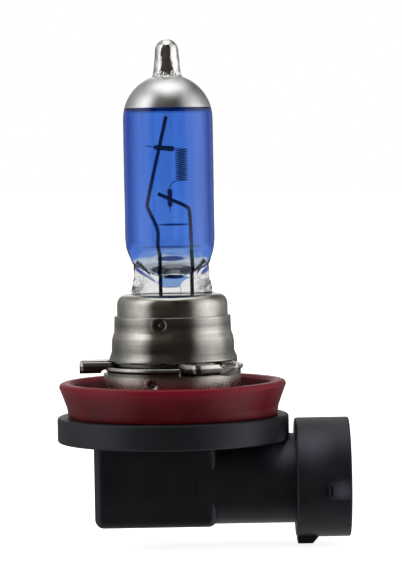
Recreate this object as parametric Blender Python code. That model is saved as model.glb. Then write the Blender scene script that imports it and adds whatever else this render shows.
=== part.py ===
"""Halogen headlight bulb with a bayonet cap and a right-angle sealed connector.

+Z runs up the bulb's axis and +X points along the connector. The origin is on the axis, in the
plane of the locking tabs' lower faces, which is where the bulb seats in a lamp. Sizes are in
millimetres, and every mesh is scaled to metres when its object is made.
"""

import math

import bmesh
import bpy
from mathutils import Matrix, Vector

MM = 0.001
FIT_GAP = 0.05  # between two pieces that touch
COARSE, FINE = 24, 36  # sides of the small and of the large turned pieces

# Driving dimensions: glass
GLASS_R = 6.0
GLASS_WALL = 1.0
DOME_CENTRE_Z = 33.2
COAT_EDGE_Z = 34.7
COAT_THICKNESS = 0.12
TIP_R = 1.78
TIP_TOP_Z = 43.9
PINCH_HALF_WIDTH = 5.35
PINCH_HALF_THICKNESS = 1.6
PINCH_BOTTOM_Z = 3.5
HOLDER_SHIFT = 0.15  # the pinch and the metal holding it sit this far towards +X of the glass

# Driving dimensions: filament, its supports and the seals through the pinch
COIL_X = 1.69
COIL_TOP_Z, COIL_BOTTOM_Z = 29.2, 25.05
COIL_R = 0.8
COIL_TURNS, COIL_STEPS_PER_TURN = 13.5, 12
FILAMENT_WIRE_R = 0.1
LEG_SLEEVE_R, LEG_SLEEVE_BORE_R = 0.34, 0.14
SUPPORT_R = 0.25
FOIL_SIZE = (2.3, 0.1, 4.2)
FOIL_TOP_Z = 9.4
LEAD_R = 0.3
LEAD_X = {"a": -1.35, "b": 2.85}
SEAL_LAP = 0.7  # how far a wire lies beside its foil

# Driving dimensions: metal cap
SHEET = 0.32
CUP_R, CUP_TOP_Z, CUP_BOTTOM_Z = 7.42, 9.95, 3.0
SLEEVE_TOP_Z, SLEEVE_STEP_Z = 7.05, 4.9
SLEEVE_UPPER_R, SLEEVE_LOWER_R = 7.85, 8.2
RING_R, RING_BORE_R = 8.1, 5.5
TAB_R, TAB_HALF_WIDTH, TAB_THICKNESS = 12.3, 3.5, 1.05
TAB_ANGLES = (180.0, 60.0, -60.0)
CAP_R = 9.5  # half of the cap's 19 mm
COLLAR_R, COLLAR_BOTTOM_Z = 9.2, -7.0

# Driving dimensions: plastic base and its seal
FLANGE_R, FLANGE_TOP_Z, FLANGE_BOTTOM_Z = 15.5, -6.35, -9.7
BOSS_R, BOSS_TOP_Z = 11.4, -3.4
SEAL_R = 15.2
BODY_LOW = (-10.5, -6.7, -20.8)
BODY_HIGH = (5.7, 6.7, -9.0)
BODY_ROUNDING = 1.2
COVER_RIM = 1.9  # from the body's side to the opening that its cover closes
CONNECTOR_Z = -15.0
NECK_HALF_Y, NECK_HALF_Z = 6.85, 5.95
BARREL_R, BARREL_BORE_R = 8.0, 6.7
BARREL_START_X, BARREL_END_X = 16.2, 23.5
BLADE_WIDTH, BLADE_THICKNESS, BLADE_TIP_X = 2.8, 0.8, 20.5
BLADE_Y = {"a": -2.5, "b": 2.5}
BLADE_START_X = 9.0
TAG_X, TAG_THICKNESS, TAG_TOP_Z = -1.0, 0.6, -11.8

FINISHES = {  # colour, roughness, metallic, transmission
    "blue_glass": ((0.10, 0.18, 0.75), 0.05, 0.0, 0.9),
    "silver_coat": ((0.80, 0.80, 0.80), 0.15, 1.0, 0.0),
    "tungsten": ((0.30, 0.30, 0.33), 0.35, 1.0, 0.0),
    "molybdenum": ((0.55, 0.55, 0.57), 0.30, 1.0, 0.0),
    "nickel_steel": ((0.60, 0.58, 0.54), 0.30, 1.0, 0.0),
    "glass_fibre": ((0.85, 0.83, 0.76), 0.80, 0.0, 0.0),
    "red_silicone": ((0.38, 0.03, 0.06), 0.45, 0.0, 0.0),
    "black_plastic": ((0.04, 0.042, 0.05), 0.50, 0.0, 0.0),
    "tinned_brass": ((0.75, 0.73, 0.68), 0.25, 1.0, 0.0),
}


def clear_scene():
    for obj in list(bpy.data.objects):
        bpy.data.objects.remove(obj)


def make_materials():
    materials = {}
    for name, (colour, roughness, metallic, transmission) in FINISHES.items():
        material = bpy.data.materials.new(name)
        material.use_nodes = True
        shader = material.node_tree.nodes["Principled BSDF"]
        shader.inputs["Base Color"].default_value = (*colour, 1.0)
        shader.inputs["Roughness"].default_value = roughness
        shader.inputs["Metallic"].default_value = metallic
        shader.inputs["Transmission Weight"].default_value = transmission
        materials[name] = material
    return materials


# Shape helpers, all in millimetres


def add_object(name, bm, material=None):
    """Make a named object in metres from a bmesh in millimetres."""
    bmesh.ops.recalc_face_normals(bm, faces=bm.faces)
    bmesh.ops.scale(bm, vec=(MM, MM, MM), verts=bm.verts)
    mesh = bpy.data.meshes.new(name)
    bm.to_mesh(mesh)
    bm.free()
    mesh.shade_smooth()
    mesh.set_sharp_from_angle(angle=math.radians(35))
    obj = bpy.data.objects.new(name, mesh)
    bpy.context.scene.collection.objects.link(obj)
    if material:
        mesh.materials.append(material)
    return obj


def add_tool(name, bm):
    """Make an object that only shapes others, so it isn't part of the bulb."""
    tool = add_object(name, bm)
    tool.hide_render = True
    tool.display_type = "WIRE"
    return tool


def combine(target, tool, operation):
    modifier = target.modifiers.new(f"{operation.lower()}_{tool.name}", "BOOLEAN")
    modifier.operation = operation
    modifier.object = tool


def lathe(profile, sides, closed=True, along_x=False, centre=(0.0, 0.0, 0.0)):
    """Spin (radius, distance) points about Z, or about an axis along X through centre."""
    bm = bmesh.new()
    verts = [bm.verts.new((radius, 0.0, height)) for radius, height in profile]
    edges = [bm.edges.new(pair) for pair in zip(verts, verts[1:])]
    if closed:
        edges.append(bm.edges.new((verts[-1], verts[0])))
    bmesh.ops.spin(
        bm, geom=verts + edges, cent=(0, 0, 0), axis=(0, 0, 1), angle=2 * math.pi, steps=sides
    )
    bmesh.ops.remove_doubles(bm, verts=bm.verts, dist=1e-4)
    if along_x:
        turn(bm, "Y", 90)
    bmesh.ops.translate(bm, vec=centre, verts=bm.verts)
    return bm


def turn(bm, axis, degrees):
    """Turn a mesh about a line through the origin."""
    matrix = Matrix.Rotation(math.radians(degrees), 3, axis)
    bmesh.ops.rotate(bm, cent=(0, 0, 0), matrix=matrix, verts=bm.verts)


def round_rod(radius, start, end, sides=12):
    """A solid cylinder from start to end."""
    start, end = Vector(start), Vector(end)
    length = (end - start).length
    bm = lathe([(0, 0), (radius, 0), (radius, length), (0, length)], sides, closed=False)
    aim(bm, start, end)
    return bm


def round_tube(outer_r, inner_r, start, end, sides=16):
    """A tube from start to end."""
    start, end = Vector(start), Vector(end)
    length = (end - start).length
    bm = lathe([(inner_r, 0), (outer_r, 0), (outer_r, length), (inner_r, length)], sides)
    aim(bm, start, end)
    return bm


def aim(bm, start, end):
    """Turn a mesh that runs up Z from the origin so that it runs from start towards end."""
    matrix = (end - start).to_track_quat("Z", "Y").to_matrix()
    bmesh.ops.rotate(bm, cent=(0, 0, 0), matrix=matrix, verts=bm.verts)
    bmesh.ops.translate(bm, vec=start, verts=bm.verts)


def box(low, high, rounding=0.0):
    """A box between two corners, with all its edges rounded if asked."""
    bm = bmesh.new()
    size = [b - a for a, b in zip(low, high)]
    middle = [(a + b) / 2 for a, b in zip(low, high)]
    matrix = Matrix.Translation(middle) @ Matrix.Diagonal((*size, 1.0))
    bmesh.ops.create_cube(bm, size=1.0, matrix=matrix)
    if rounding:
        bmesh.ops.bevel(bm, geom=bm.edges, offset=rounding, segments=3, profile=0.5, affect="EDGES")
    return bm


def prism(outline, direction):
    """Extrude a flat outline of 3-D points along a direction."""
    bm = bmesh.new()
    face = bm.faces.new([bm.verts.new(point) for point in outline])
    grown = bmesh.ops.extrude_face_region(bm, geom=[face])
    moved = [item for item in grown["geom"] if isinstance(item, bmesh.types.BMVert)]
    bmesh.ops.translate(bm, vec=direction, verts=moved)
    return bm


def oval(half_x, half_y, squareness, height, shift=0.0, count=COARSE):
    """One level ring: squareness 2 is an ellipse, and 7 is close to a rectangle."""
    power = 2.0 / squareness
    ring = []
    for i in range(count):
        angle = 2 * math.pi * i / count
        across, along = math.cos(angle), math.sin(angle)
        x = shift + half_x * math.copysign(abs(across) ** power, across)
        y = half_y * math.copysign(abs(along) ** power, along)
        ring.append((x, y, height))
    return ring


def loft(rings):
    """Skin a stack of rings, lowest first, and cap both ends."""
    bm = bmesh.new()
    rows = [[bm.verts.new(point) for point in ring] for ring in rings]
    count = len(rows[0])
    for low, high in zip(rows, rows[1:]):
        for i in range(count):
            j = (i + 1) % count
            bm.faces.new((low[i], low[j], high[j], high[i]))
    bm.faces.new(rows[0])
    bm.faces.new(rows[-1])
    return bm


def smooth_route(points, steps=5):
    """Points on a Catmull-Rom curve through the given ones."""
    places = [Vector(point) for point in points]
    padded = [2 * places[0] - places[1], *places, 2 * places[-1] - places[-2]]
    route = []
    for before, start, end, after in zip(padded, padded[1:], padded[2:], padded[3:]):
        for step in range(steps):
            t = step / steps
            route.append(
                0.5
                * (
                    2 * start
                    + (end - before) * t
                    + (2 * before - 5 * start + 4 * end - after) * t**2
                    + (3 * start - before - 3 * end + after) * t**3
                )
            )
    route.append(places[-1])
    return route


def add_wire(name, route, radius, material, sides=8):
    """A round wire along a route, as a curve with a bevel and filled ends."""
    curve = bpy.data.curves.new(name, "CURVE")
    curve.dimensions = "3D"
    curve.bevel_depth = radius * MM
    curve.bevel_resolution = (sides - 4) // 2
    curve.use_fill_caps = True
    spline = curve.splines.new("POLY")
    spline.points.add(len(route) - 1)
    for point, place in zip(spline.points, route):
        point.co = (place[0] * MM, place[1] * MM, place[2] * MM, 1.0)
    curve.materials.append(material)
    wire = bpy.data.objects.new(name, curve)
    bpy.context.scene.collection.objects.link(wire)
    return wire


# Glass


def tip_outline(inset):
    """The exhaust tip's side, from its rounded top to where it meets the dome."""
    r = TIP_R - inset
    top = TIP_TOP_Z - inset
    crown_r, crown_height = 0.92 * r, 1.5
    crown = []
    for degrees in (25, 50, 75, 90):
        angle = math.radians(degrees)
        crown.append((crown_r * math.sin(angle), top - crown_height * (1 - math.cos(angle))))
    return [*crown, (crown_r, top - 2.5), (r, top - 3.5), (r, top - 4.4)]


def dome_outline(radius, start_r):
    """The dome's side, from start_r out and down to the coat's edge."""
    first = math.acos(start_r / radius)
    last = math.asin((COAT_EDGE_Z - DOME_CENTRE_Z) / radius)
    angles = [first + (last - first) * i / 6 for i in range(7)]
    return [(radius * math.cos(a), DOME_CENTRE_Z + radius * math.sin(a)) for a in angles]


def glass_rings():
    """Rings of the envelope's outside: a flat pinch that swells into a round tube and dome."""
    press = [  # half width, half thickness, squareness, height
        (PINCH_HALF_WIDTH, PINCH_HALF_THICKNESS, 7.0, PINCH_BOTTOM_Z),
        (PINCH_HALF_WIDTH, PINCH_HALF_THICKNESS, 7.0, 10.6),
        (5.13, 1.62, 6.0, 11.5),
        (4.97, 1.80, 5.0, 12.3),
        (5.00, 2.25, 4.0, 13.1),
        (5.17, 3.00, 3.2, 13.9),
        (5.45, 4.00, 2.6, 14.7),
        (5.82, 5.30, 2.2, 16.0),
        (GLASS_R, GLASS_R, 2.0, 17.3),
    ]
    rings = []
    for half_x, half_y, squareness, height in press:
        fade = min(1.0, max(0.0, (16.0 - height) / 3.0))
        rings.append(oval(half_x, half_y, squareness, height, HOLDER_SHIFT * fade))
    bare_edge_z = COAT_EDGE_Z - FIT_GAP
    bare_edge_r = math.sqrt(GLASS_R**2 - (bare_edge_z - DOME_CENTRE_Z) ** 2)
    bare = [(GLASS_R, DOME_CENTRE_Z), (bare_edge_r, bare_edge_z)]
    coated_inset = COAT_THICKNESS + FIT_GAP
    coated = [*tip_outline(coated_inset), *dome_outline(GLASS_R - coated_inset, TIP_R)]
    for radius, height in [*bare, *reversed(coated)]:
        rings.append(oval(radius, radius, 2.0, height))
    return rings


def cavity_rings():
    """Rings of the gas space: a round tube with a domed top that pinches shut at its foot."""
    inner = GLASS_R - GLASS_WALL
    foot = [(2.2, 0.5, 2.0, 13.3), (3.4, 1.1, 2.2, 13.7), (4.1, 1.9, 2.4, 14.3), (4.6, 3.0, 2.3, 15.1)]
    foot += [(4.85, 4.2, 2.1, 16.1), (inner, inner, 2.0, 17.4)]
    rings = [oval(*ring) for ring in foot]
    for degrees in (0, 20, 40, 58, 74, 86):
        angle = math.radians(degrees)
        radius = inner * math.cos(angle)
        rings.append(oval(radius, radius, 2.0, DOME_CENTRE_Z + inner * math.sin(angle)))
    return rings


def wire_lines():
    """Y of the support wire and of the outer lead beside each foil, on opposite faces of it."""
    half_foil = FOIL_SIZE[1] / 2
    return half_foil + SUPPORT_R + FIT_GAP / 2, -(half_foil + LEAD_R + FIT_GAP / 2)


def pinch_cutters(x):
    """The channels for one support wire, foil and outer lead, which run into each other."""
    support_y, lead_y = wire_lines()
    foil_bottom = FOIL_TOP_Z - FOIL_SIZE[2]
    side_gap, end_gap = 0.07, 0.1
    half_width, half_depth = FOIL_SIZE[0] / 2 + end_gap, FOIL_SIZE[1] / 2 + side_gap
    upper_foot = (x, support_y, FOIL_TOP_Z - SEAL_LAP - end_gap)
    lower_top = (x, lead_y, foil_bottom + SEAL_LAP + end_gap)
    slot_low = (x - half_width, -half_depth, foil_bottom - end_gap)
    slot_high = (x + half_width, half_depth, FOIL_TOP_Z + end_gap)
    return {
        "support": round_rod(SUPPORT_R + side_gap, upper_foot, (x, support_y, 15.5)),
        "foil": box(slot_low, slot_high),
        "lead": round_rod(LEAD_R + side_gap, (x, lead_y, PINCH_BOTTOM_Z - 1), lower_top),
    }


def add_glass_envelope(materials):
    glass = add_object("glass_envelope", loft(glass_rings()), materials["blue_glass"])
    combine(glass, add_tool("cut_gas_space", loft(cavity_rings())), "DIFFERENCE")
    for side, x in LEAD_X.items():
        for channel, cutter in pinch_cutters(x).items():
            combine(glass, add_tool(f"cut_{channel}_{side}", cutter), "DIFFERENCE")


def add_silver_coat(materials):
    """The mirror coat over the tip and dome."""
    outside = [(0.0, TIP_TOP_Z), *tip_outline(0.0), *dome_outline(GLASS_R, TIP_R + 0.2)]
    inside = [(0.0, TIP_TOP_Z - COAT_THICKNESS), *tip_outline(COAT_THICKNESS)]
    inside += dome_outline(GLASS_R - COAT_THICKNESS, TIP_R + 0.08)
    profile = [*outside, *reversed(inside)]
    coat = lathe(profile, COARSE, closed=False)
    add_object("silver_top_coat", coat, materials["silver_coat"])


# Filament and the wires that carry it


def add_filament(materials):
    """One tungsten wire: a leg, the coil and a second leg."""
    front, back = -COIL_R, COIL_R
    route = [(-3.0, front, 29.7), (-2.0, front, 29.5), (0.9, front, 29.22)]
    steps = round(COIL_TURNS * COIL_STEPS_PER_TURN)
    for i in range(steps + 1):
        angle = -math.pi / 2 + 2 * math.pi * COIL_TURNS * i / steps
        height = COIL_TOP_Z + (COIL_BOTTOM_Z - COIL_TOP_Z) * i / steps
        route.append((COIL_X + COIL_R * math.cos(angle), COIL_R * math.sin(angle), height))
    route += [(0.8, back, 24.9), (0.3, back, 24.6), (0.1, back, 24.1), (0.1, back, 20.9)]
    add_wire("filament", route, FILAMENT_WIRE_R, materials["tungsten"], sides=6)
    upper = round_tube(LEG_SLEEVE_R, LEG_SLEEVE_BORE_R, (-1.9, front, 29.49), (0.75, front, 29.2345))
    add_object("upper_leg_sleeve", upper, materials["molybdenum"])
    lower = round_tube(LEG_SLEEVE_R, LEG_SLEEVE_BORE_R, (0.1, back, 23.85), (0.1, back, 21.5))
    add_object("lower_leg_sleeve", lower, materials["molybdenum"])


def add_support_wires(materials):
    """Two stiff wires from the pinch, each of which crosses one leg of the filament."""
    support_y, _ = wire_lines()
    reach = COIL_R - LEG_SLEEVE_R - SUPPORT_R - FIT_GAP
    x_a, x_b = LEAD_X["a"], LEAD_X["b"]
    straight = (FOIL_TOP_Z - SEAL_LAP, 11.5, 14.5)
    routes = {
        "long_support_wire": [(x_a, support_y, z) for z in straight],
        "short_support_wire": [(x_b, support_y, z) for z in straight],
    }
    routes["long_support_wire"] += [(-1.62, 0.1, 16.5), (-1.65, -reach, 18.6), (-2.75, -reach, 21.1)]
    routes["long_support_wire"] += [(-2.85, -reach, 22.4), (-1.6, -reach, 27.8), (-0.23, -reach, 33.6)]
    routes["short_support_wire"] += [(2.85, 0.25, 17.5), (2.7, reach, 20.6), (2.3, reach, 21.5)]
    routes["short_support_wire"] += [(0.1, reach, 22.55), (-1.5, reach, 23.3)]
    for name, route in routes.items():
        add_wire(name, smooth_route(route, steps=4), SUPPORT_R, materials["molybdenum"])


def add_pinch_seals(materials):
    """The foils that carry the current through the pinch."""
    width, depth, height = FOIL_SIZE
    for side, x in LEAD_X.items():
        low = (x - width / 2, -depth / 2, FOIL_TOP_Z - height)
        foil = box(low, (x + width / 2, depth / 2, FOIL_TOP_Z))
        add_object(f"pinch_foil_{side}", foil, materials["molybdenum"])


def add_outer_leads(materials):
    """The lead from each foil down to its terminal's tag, one of them in a fibre sleeve."""
    _, lead_y = wire_lines()
    top_z = FOIL_TOP_Z - FOIL_SIZE[2] + SEAL_LAP
    weld_gap = LEAD_R + 0.12
    x_a, x_b = LEAD_X["a"], LEAD_X["b"]
    routes = {
        "a": [(x_a, lead_y, z) for z in (top_z, 0.0, -6.0)],
        "b": [(x_b, lead_y, top_z), (x_b, lead_y, 0.0), (1.9, 0.6, -7.5)],
    }
    ends = {"a": TAG_X - weld_gap, "b": TAG_X + TAG_THICKNESS + weld_gap}
    for side, route in routes.items():
        end_x, y = ends[side], BLADE_Y[side]
        middle_x = end_x + (route[-1][0] - end_x) * 0.4
        route += [(middle_x, y * 0.75, -10.4), (end_x, y, -12.6), (end_x, y, -13.9)]
        add_wire(f"outer_lead_{side}", smooth_route(route, steps=4), LEAD_R, materials["molybdenum"])
    sleeve = round_tube(0.8, LEAD_R + 0.12, (x_a, lead_y, 2.6), (x_a, lead_y, -4.6))
    add_object("lead_insulator", sleeve, materials["glass_fibre"])


# Metal cap


def pinch_block(clearance, low_z, high_z):
    """The pinch's own section, grown by a clearance on every side."""
    half_x, half_y = PINCH_HALF_WIDTH + clearance, PINCH_HALF_THICKNESS + clearance
    return loft([oval(half_x, half_y, 7.0, z, HOLDER_SHIFT) for z in (low_z, high_z)])


def add_pinch_clip(materials):
    """The sheet band that grips the pinch inside the cup."""
    low_z, high_z, gap = 4.6, 9.2, 0.1
    band = pinch_block(gap + SHEET, low_z, high_z)
    clip = add_object("pinch_clip", band, materials["nickel_steel"])
    opening = pinch_block(gap, low_z - 1, high_z + 1)
    combine(clip, add_tool("cut_clip_opening", opening), "DIFFERENCE")


def add_burner_cup(materials):
    """The cup whose slotted top holds the pinch."""
    corner = 1.1
    centre_r, centre_z = CUP_R - corner, CUP_TOP_Z - corner
    angles = [math.radians(90 * (1 - i / 4)) for i in range(5)]
    outside = [(centre_r + corner * math.cos(a), centre_z + corner * math.sin(a)) for a in angles]
    bend = corner - SHEET
    inside = [(centre_r + bend * math.cos(a), centre_z + bend * math.sin(a)) for a in angles]
    profile = [(0.0, CUP_TOP_Z), *outside, (CUP_R, CUP_BOTTOM_Z), (CUP_R - SHEET, CUP_BOTTOM_Z)]
    profile += [*reversed(inside), (0.0, CUP_TOP_Z - SHEET)]
    cup_mesh = lathe(profile, FINE, closed=False, centre=(HOLDER_SHIFT, 0, 0))
    cup = add_object("burner_cup", cup_mesh, materials["nickel_steel"])
    slot = pinch_block(0.16, CUP_TOP_Z - 1, CUP_TOP_Z + 1)
    combine(cup, add_tool("cut_pinch_slot", slot), "DIFFERENCE")


def weld_marks(target, radius, height, mark_r, depth, first_angle, shift=0.0):
    """Press three round weld marks, evenly spaced, into a turned wall."""
    for i in range(3):
        angle = math.radians(first_angle + 120 * i)
        outward = Vector((math.cos(angle), math.sin(angle), 0.0))
        centre = outward * radius + Vector((shift, 0.0, height))
        cutter = round_rod(mark_r, centre - outward * depth, centre + outward, sides=16)
        combine(target, add_tool(f"cut_{target.name}_mark_{i}", cutter), "DIFFERENCE")


def add_adjusting_sleeve(materials):
    """The stepped sleeve that is slid over the cup to set the filament's height."""
    foot_z = TAB_THICKNESS + 2 * FIT_GAP
    outside = [(SLEEVE_UPPER_R - 0.08, SLEEVE_TOP_Z), (SLEEVE_UPPER_R, SLEEVE_STEP_Z)]
    outside += [(SLEEVE_UPPER_R + 0.22, SLEEVE_STEP_Z - 0.4), (SLEEVE_LOWER_R, SLEEVE_STEP_Z - 0.9)]
    outside += [(SLEEVE_LOWER_R + 0.03, foot_z + 0.75), (SLEEVE_LOWER_R + 0.15, foot_z + 0.35)]
    outside += [(SLEEVE_LOWER_R + 0.4, foot_z)]
    inside = [(radius - SHEET, height) for radius, height in outside]
    sleeve_mesh = lathe([*outside, *reversed(inside)], FINE, centre=(HOLDER_SHIFT, 0, 0))
    sleeve = add_object("adjusting_sleeve", sleeve_mesh, materials["nickel_steel"])
    weld_marks(sleeve, SLEEVE_UPPER_R, 6.1, 0.7, 0.16, -101.0, HOLDER_SHIFT)


def tab_outline(radius):
    """A tab's end view: a flat plate with a rounded bead pressed down beside its middle."""
    bead_centre, bead_r, bead_depth = 1.4, 1.25, 0.5
    top = [(-TAB_HALF_WIDTH, TAB_THICKNESS)]
    bottom = [(-TAB_HALF_WIDTH, 0.0)]
    for i in range(7):
        angle = math.pi * i / 6
        across = bead_centre - bead_r * math.cos(angle)
        sag = bead_depth * math.sin(angle)
        top.append((across, TAB_THICKNESS - sag))
        bottom.append((across, -sag))
    top.append((TAB_HALF_WIDTH, TAB_THICKNESS))
    bottom.append((TAB_HALF_WIDTH, 0.0))
    return [(radius, across, height) for across, height in [*bottom, *reversed(top)]]


def add_bayonet_ring(materials):
    """The ring with three locking tabs that turn in behind the lamp's socket."""
    low_z, high_z = 0.12, 0.93
    flat = [(RING_BORE_R, low_z), (RING_R, low_z), (RING_R, high_z), (RING_BORE_R, high_z)]
    ring = add_object("bayonet_ring", lathe(flat, FINE), materials["nickel_steel"])
    relief_r = CAP_R + 0.2
    relief_side = [(0, -2), (relief_r, -2), (relief_r, low_z), (0, low_z)]
    relief = add_tool("cut_tab_relief", lathe(relief_side, FINE, closed=False))
    for number, degrees in enumerate(TAB_ANGLES):
        inner_r = RING_R - 0.5
        tab = prism(tab_outline(inner_r), (TAB_R - inner_r, 0, 0))
        turn(tab, "Z", degrees)
        tool = add_tool(f"tab_{number}", tab)
        combine(tool, relief, "DIFFERENCE")
        combine(ring, tool, "UNION")


def add_cap_collar(materials):
    """The 19 mm collar under the tabs, with a turned-out rim and a turned-in foot."""
    rim_z = -FIT_GAP
    inner_r = COLLAR_R - 0.45
    profile = [(inner_r, rim_z), (CAP_R, rim_z), (CAP_R, rim_z - 0.4), (COLLAR_R, rim_z - 0.5)]
    profile += [(COLLAR_R, COLLAR_BOTTOM_Z), (7.5, COLLAR_BOTTOM_Z), (7.5, COLLAR_BOTTOM_Z + 0.45)]
    profile += [(inner_r, COLLAR_BOTTOM_Z + 0.45)]
    collar = add_object("cap_collar", lathe(profile, FINE), materials["nickel_steel"])
    weld_marks(collar, COLLAR_R, -1.75, 0.5, 0.2, -106.0)


# Plastic base


def add_sealing_ring(materials):
    """The silicone ring: a foot on the flange and a lip that flares out to the lamp."""
    foot_z = FLANGE_TOP_Z + FIT_GAP
    inner_r = BOSS_R + 0.15
    outside = [(14.0, foot_z), (14.1, -5.4), (14.45, -4.4), (14.85, -3.4)]
    outside += [(SEAL_R, -2.55), (15.05, -2.0)]
    lip = [(14.55, -1.75), (13.9, -1.75), (13.35, -2.05)]
    trough = [(12.95, -3.2), (12.7, -4.4), (12.2, -4.9), (inner_r, -4.9)]
    profile = [(inner_r, foot_z), *outside, *lip, *trough]
    add_object("sealing_ring", lathe(profile, FINE), materials["red_silicone"])


def flange_mesh():
    """The round flange with its raised boss and the bore for the leads."""
    edge, bore_r = 0.5, 4.5
    floor_z = COLLAR_BOTTOM_Z - 0.2
    profile = [(bore_r, floor_z), (COLLAR_R + 0.15, floor_z), (COLLAR_R + 0.15, BOSS_TOP_Z)]
    profile += [(BOSS_R, BOSS_TOP_Z), (BOSS_R, FLANGE_TOP_Z), (FLANGE_R - edge, FLANGE_TOP_Z)]
    profile += [(FLANGE_R - 0.15, FLANGE_TOP_Z - 0.15), (FLANGE_R, FLANGE_TOP_Z - edge)]
    profile += [(FLANGE_R, FLANGE_BOTTOM_Z + edge), (FLANGE_R - 0.15, FLANGE_BOTTOM_Z + 0.15)]
    profile += [(FLANGE_R - edge, FLANGE_BOTTOM_Z), (bore_r, FLANGE_BOTTOM_Z)]
    return lathe(profile, 44)


def along_connector(half_y, half_z, start_x, end_x, squareness=2.0):
    """An oval solid along the connector's axis."""
    bm = loft([oval(half_z, half_y, squareness, x, count=32) for x in (start_x, end_x)])
    turn(bm, "Y", 90)
    bmesh.ops.translate(bm, vec=(0, 0, CONNECTOR_Z), verts=bm.verts)
    return bm


def barrel_mesh():
    """The connector's round shroud, solid until its mouth is cut."""
    profile = [(0, BARREL_START_X), (BARREL_R - 0.35, BARREL_START_X), (BARREL_R, BARREL_START_X + 0.35)]
    profile += [(BARREL_R, BARREL_END_X - 0.2), (BARREL_R - 0.2, BARREL_END_X), (0, BARREL_END_X)]
    return lathe(profile, 40, closed=False, along_x=True, centre=(0, 0, CONNECTOR_Z))


def add_base_housing(materials):
    """Flange, body, neck and connector shroud, moulded as one piece."""
    housing = add_object("base_housing", flange_mesh(), materials["black_plastic"])
    additions = {
        "body": box(BODY_LOW, BODY_HIGH, BODY_ROUNDING),
        "neck": along_connector(NECK_HALF_Y, NECK_HALF_Z, 3.0, BARREL_START_X + 0.6),
        "barrel": barrel_mesh(),
        "lock_nose": lock_nose_mesh(),
    }
    for name, side in (("front", -1), ("back", 1)):
        low_y, high_y = sorted((side * (BARREL_R - 1.0), side * (BARREL_R + 0.3)))
        rib = box((20.4, low_y, -17.0), (BARREL_END_X - 0.05, high_y, -14.8))
        additions[f"{name}_rib"] = rib
    for name, bm in additions.items():
        combine(housing, add_tool(f"add_{name}", bm), "UNION")
    for name, bm in housing_cuts().items():
        combine(housing, add_tool(f"cut_{name}", bm), "DIFFERENCE")


def lock_nose_mesh():
    """The wedge under the shroud that holds the mating plug."""
    half_width = 2.2
    low = CONNECTOR_Z - BARREL_R - 0.7
    high = CONNECTOR_Z - BARREL_R + 0.8
    outline = [(16.4, high), (16.4, low), (18.4, low), (19.2, high - 0.6), (19.2, high)]
    return prism([(x, -half_width, z) for x, z in outline], (0, 2 * half_width, 0))


def housing_cuts():
    """Everything that is hollow in the housing."""
    ledge = 0.7
    rim = COVER_RIM
    recess_low = (BODY_LOW[0] + rim, BODY_LOW[1] + rim, BODY_LOW[2] - 1.0)
    recess_high = (BODY_HIGH[0] - rim, BODY_HIGH[1] - rim, BODY_LOW[2] + 1.25)
    cuts = {
        "lead_bore": round_rod(4.5, (0, 0, -12.5), (0, 0, -5.0), sides=32),
        "cover_recess": box(recess_low, recess_high),
        "body_space": box(
            (recess_low[0] + ledge, recess_low[1] + ledge, BODY_LOW[2] + 0.5),
            (recess_high[0] - ledge, recess_high[1] - ledge, -11.2),
        ),
        "neck_space": along_connector(5.5, 4.6, 8.5, BARREL_START_X + 1.5),
        "mouth": along_connector(
            BARREL_BORE_R, BARREL_BORE_R, BARREL_START_X + 1.2, BARREL_END_X + 1
        ),
    }
    half_width, half_depth = BLADE_WIDTH / 2 + 0.08, BLADE_THICKNESS / 2 + 0.08
    for side, y in BLADE_Y.items():
        low = (recess_high[0] - 2.0, y - half_width, CONNECTOR_Z - half_depth)
        high = (BLADE_START_X + 1.0, y + half_width, CONNECTOR_Z + half_depth)
        cuts[f"blade_slot_{side}"] = box(low, high)
    return cuts


def add_base_cover(materials):
    """The lid that closes the body from below."""
    inset = COVER_RIM + 0.12
    low = (BODY_LOW[0] + inset, BODY_LOW[1] + inset, BODY_LOW[2] + 0.08)
    high = (BODY_HIGH[0] - inset, BODY_HIGH[1] - inset, BODY_LOW[2] + 1.15)
    add_object("base_cover", box(low, high), materials["black_plastic"])


def add_terminals(materials):
    """Two flat blades, each with an upright tag where its lead is welded."""
    half_strip, half_blade = BLADE_THICKNESS / 2 - 0.1, BLADE_THICKNESS / 2
    side_view = [(TAG_X, -half_strip), (BLADE_START_X, -half_strip), (BLADE_START_X, -half_blade)]
    side_view += [(BLADE_TIP_X - 0.6, -half_blade), (BLADE_TIP_X, -half_blade + 0.25)]
    side_view += [(BLADE_TIP_X, half_blade - 0.25), (BLADE_TIP_X - 0.6, half_blade)]
    side_view += [(BLADE_START_X, half_blade), (BLADE_START_X, half_strip)]
    tag_top, tag_end = TAG_TOP_Z - CONNECTOR_Z, TAG_X + TAG_THICKNESS
    side_view += [(tag_end, half_strip), (tag_end, tag_top), (TAG_X, tag_top)]
    for side, y in BLADE_Y.items():
        outline = [(x, y - BLADE_WIDTH / 2, CONNECTOR_Z + height) for x, height in side_view]
        blade = prism(outline, (0, BLADE_WIDTH, 0))
        for vert in blade.verts:
            if vert.co.x > BLADE_TIP_X - 0.1:
                vert.co.y = y + (vert.co.y - y) * 0.7
        add_object(f"terminal_{side}", blade, materials["tinned_brass"])


def build():
    clear_scene()
    materials = make_materials()
    for add_piece in (
        add_glass_envelope,
        add_silver_coat,
        add_filament,
        add_support_wires,
        add_pinch_seals,
        add_outer_leads,
        add_pinch_clip,
        add_burner_cup,
        add_adjusting_sleeve,
        add_bayonet_ring,
        add_cap_collar,
        add_sealing_ring,
        add_base_housing,
        add_base_cover,
        add_terminals,
    ):
        add_piece(materials)


build()
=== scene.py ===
"""The looks of the headlight bulb: finished pieces, materials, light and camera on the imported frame.

Shapes are made in millimetres, in the frame of the CAD model, and scaled to metres when their object
is made. Radii and heights are read from the boxes of the CAD nodes that the pieces stand for.
"""

import math

import bmesh
import bpy
from mathutils import Matrix, Vector, noise


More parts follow.
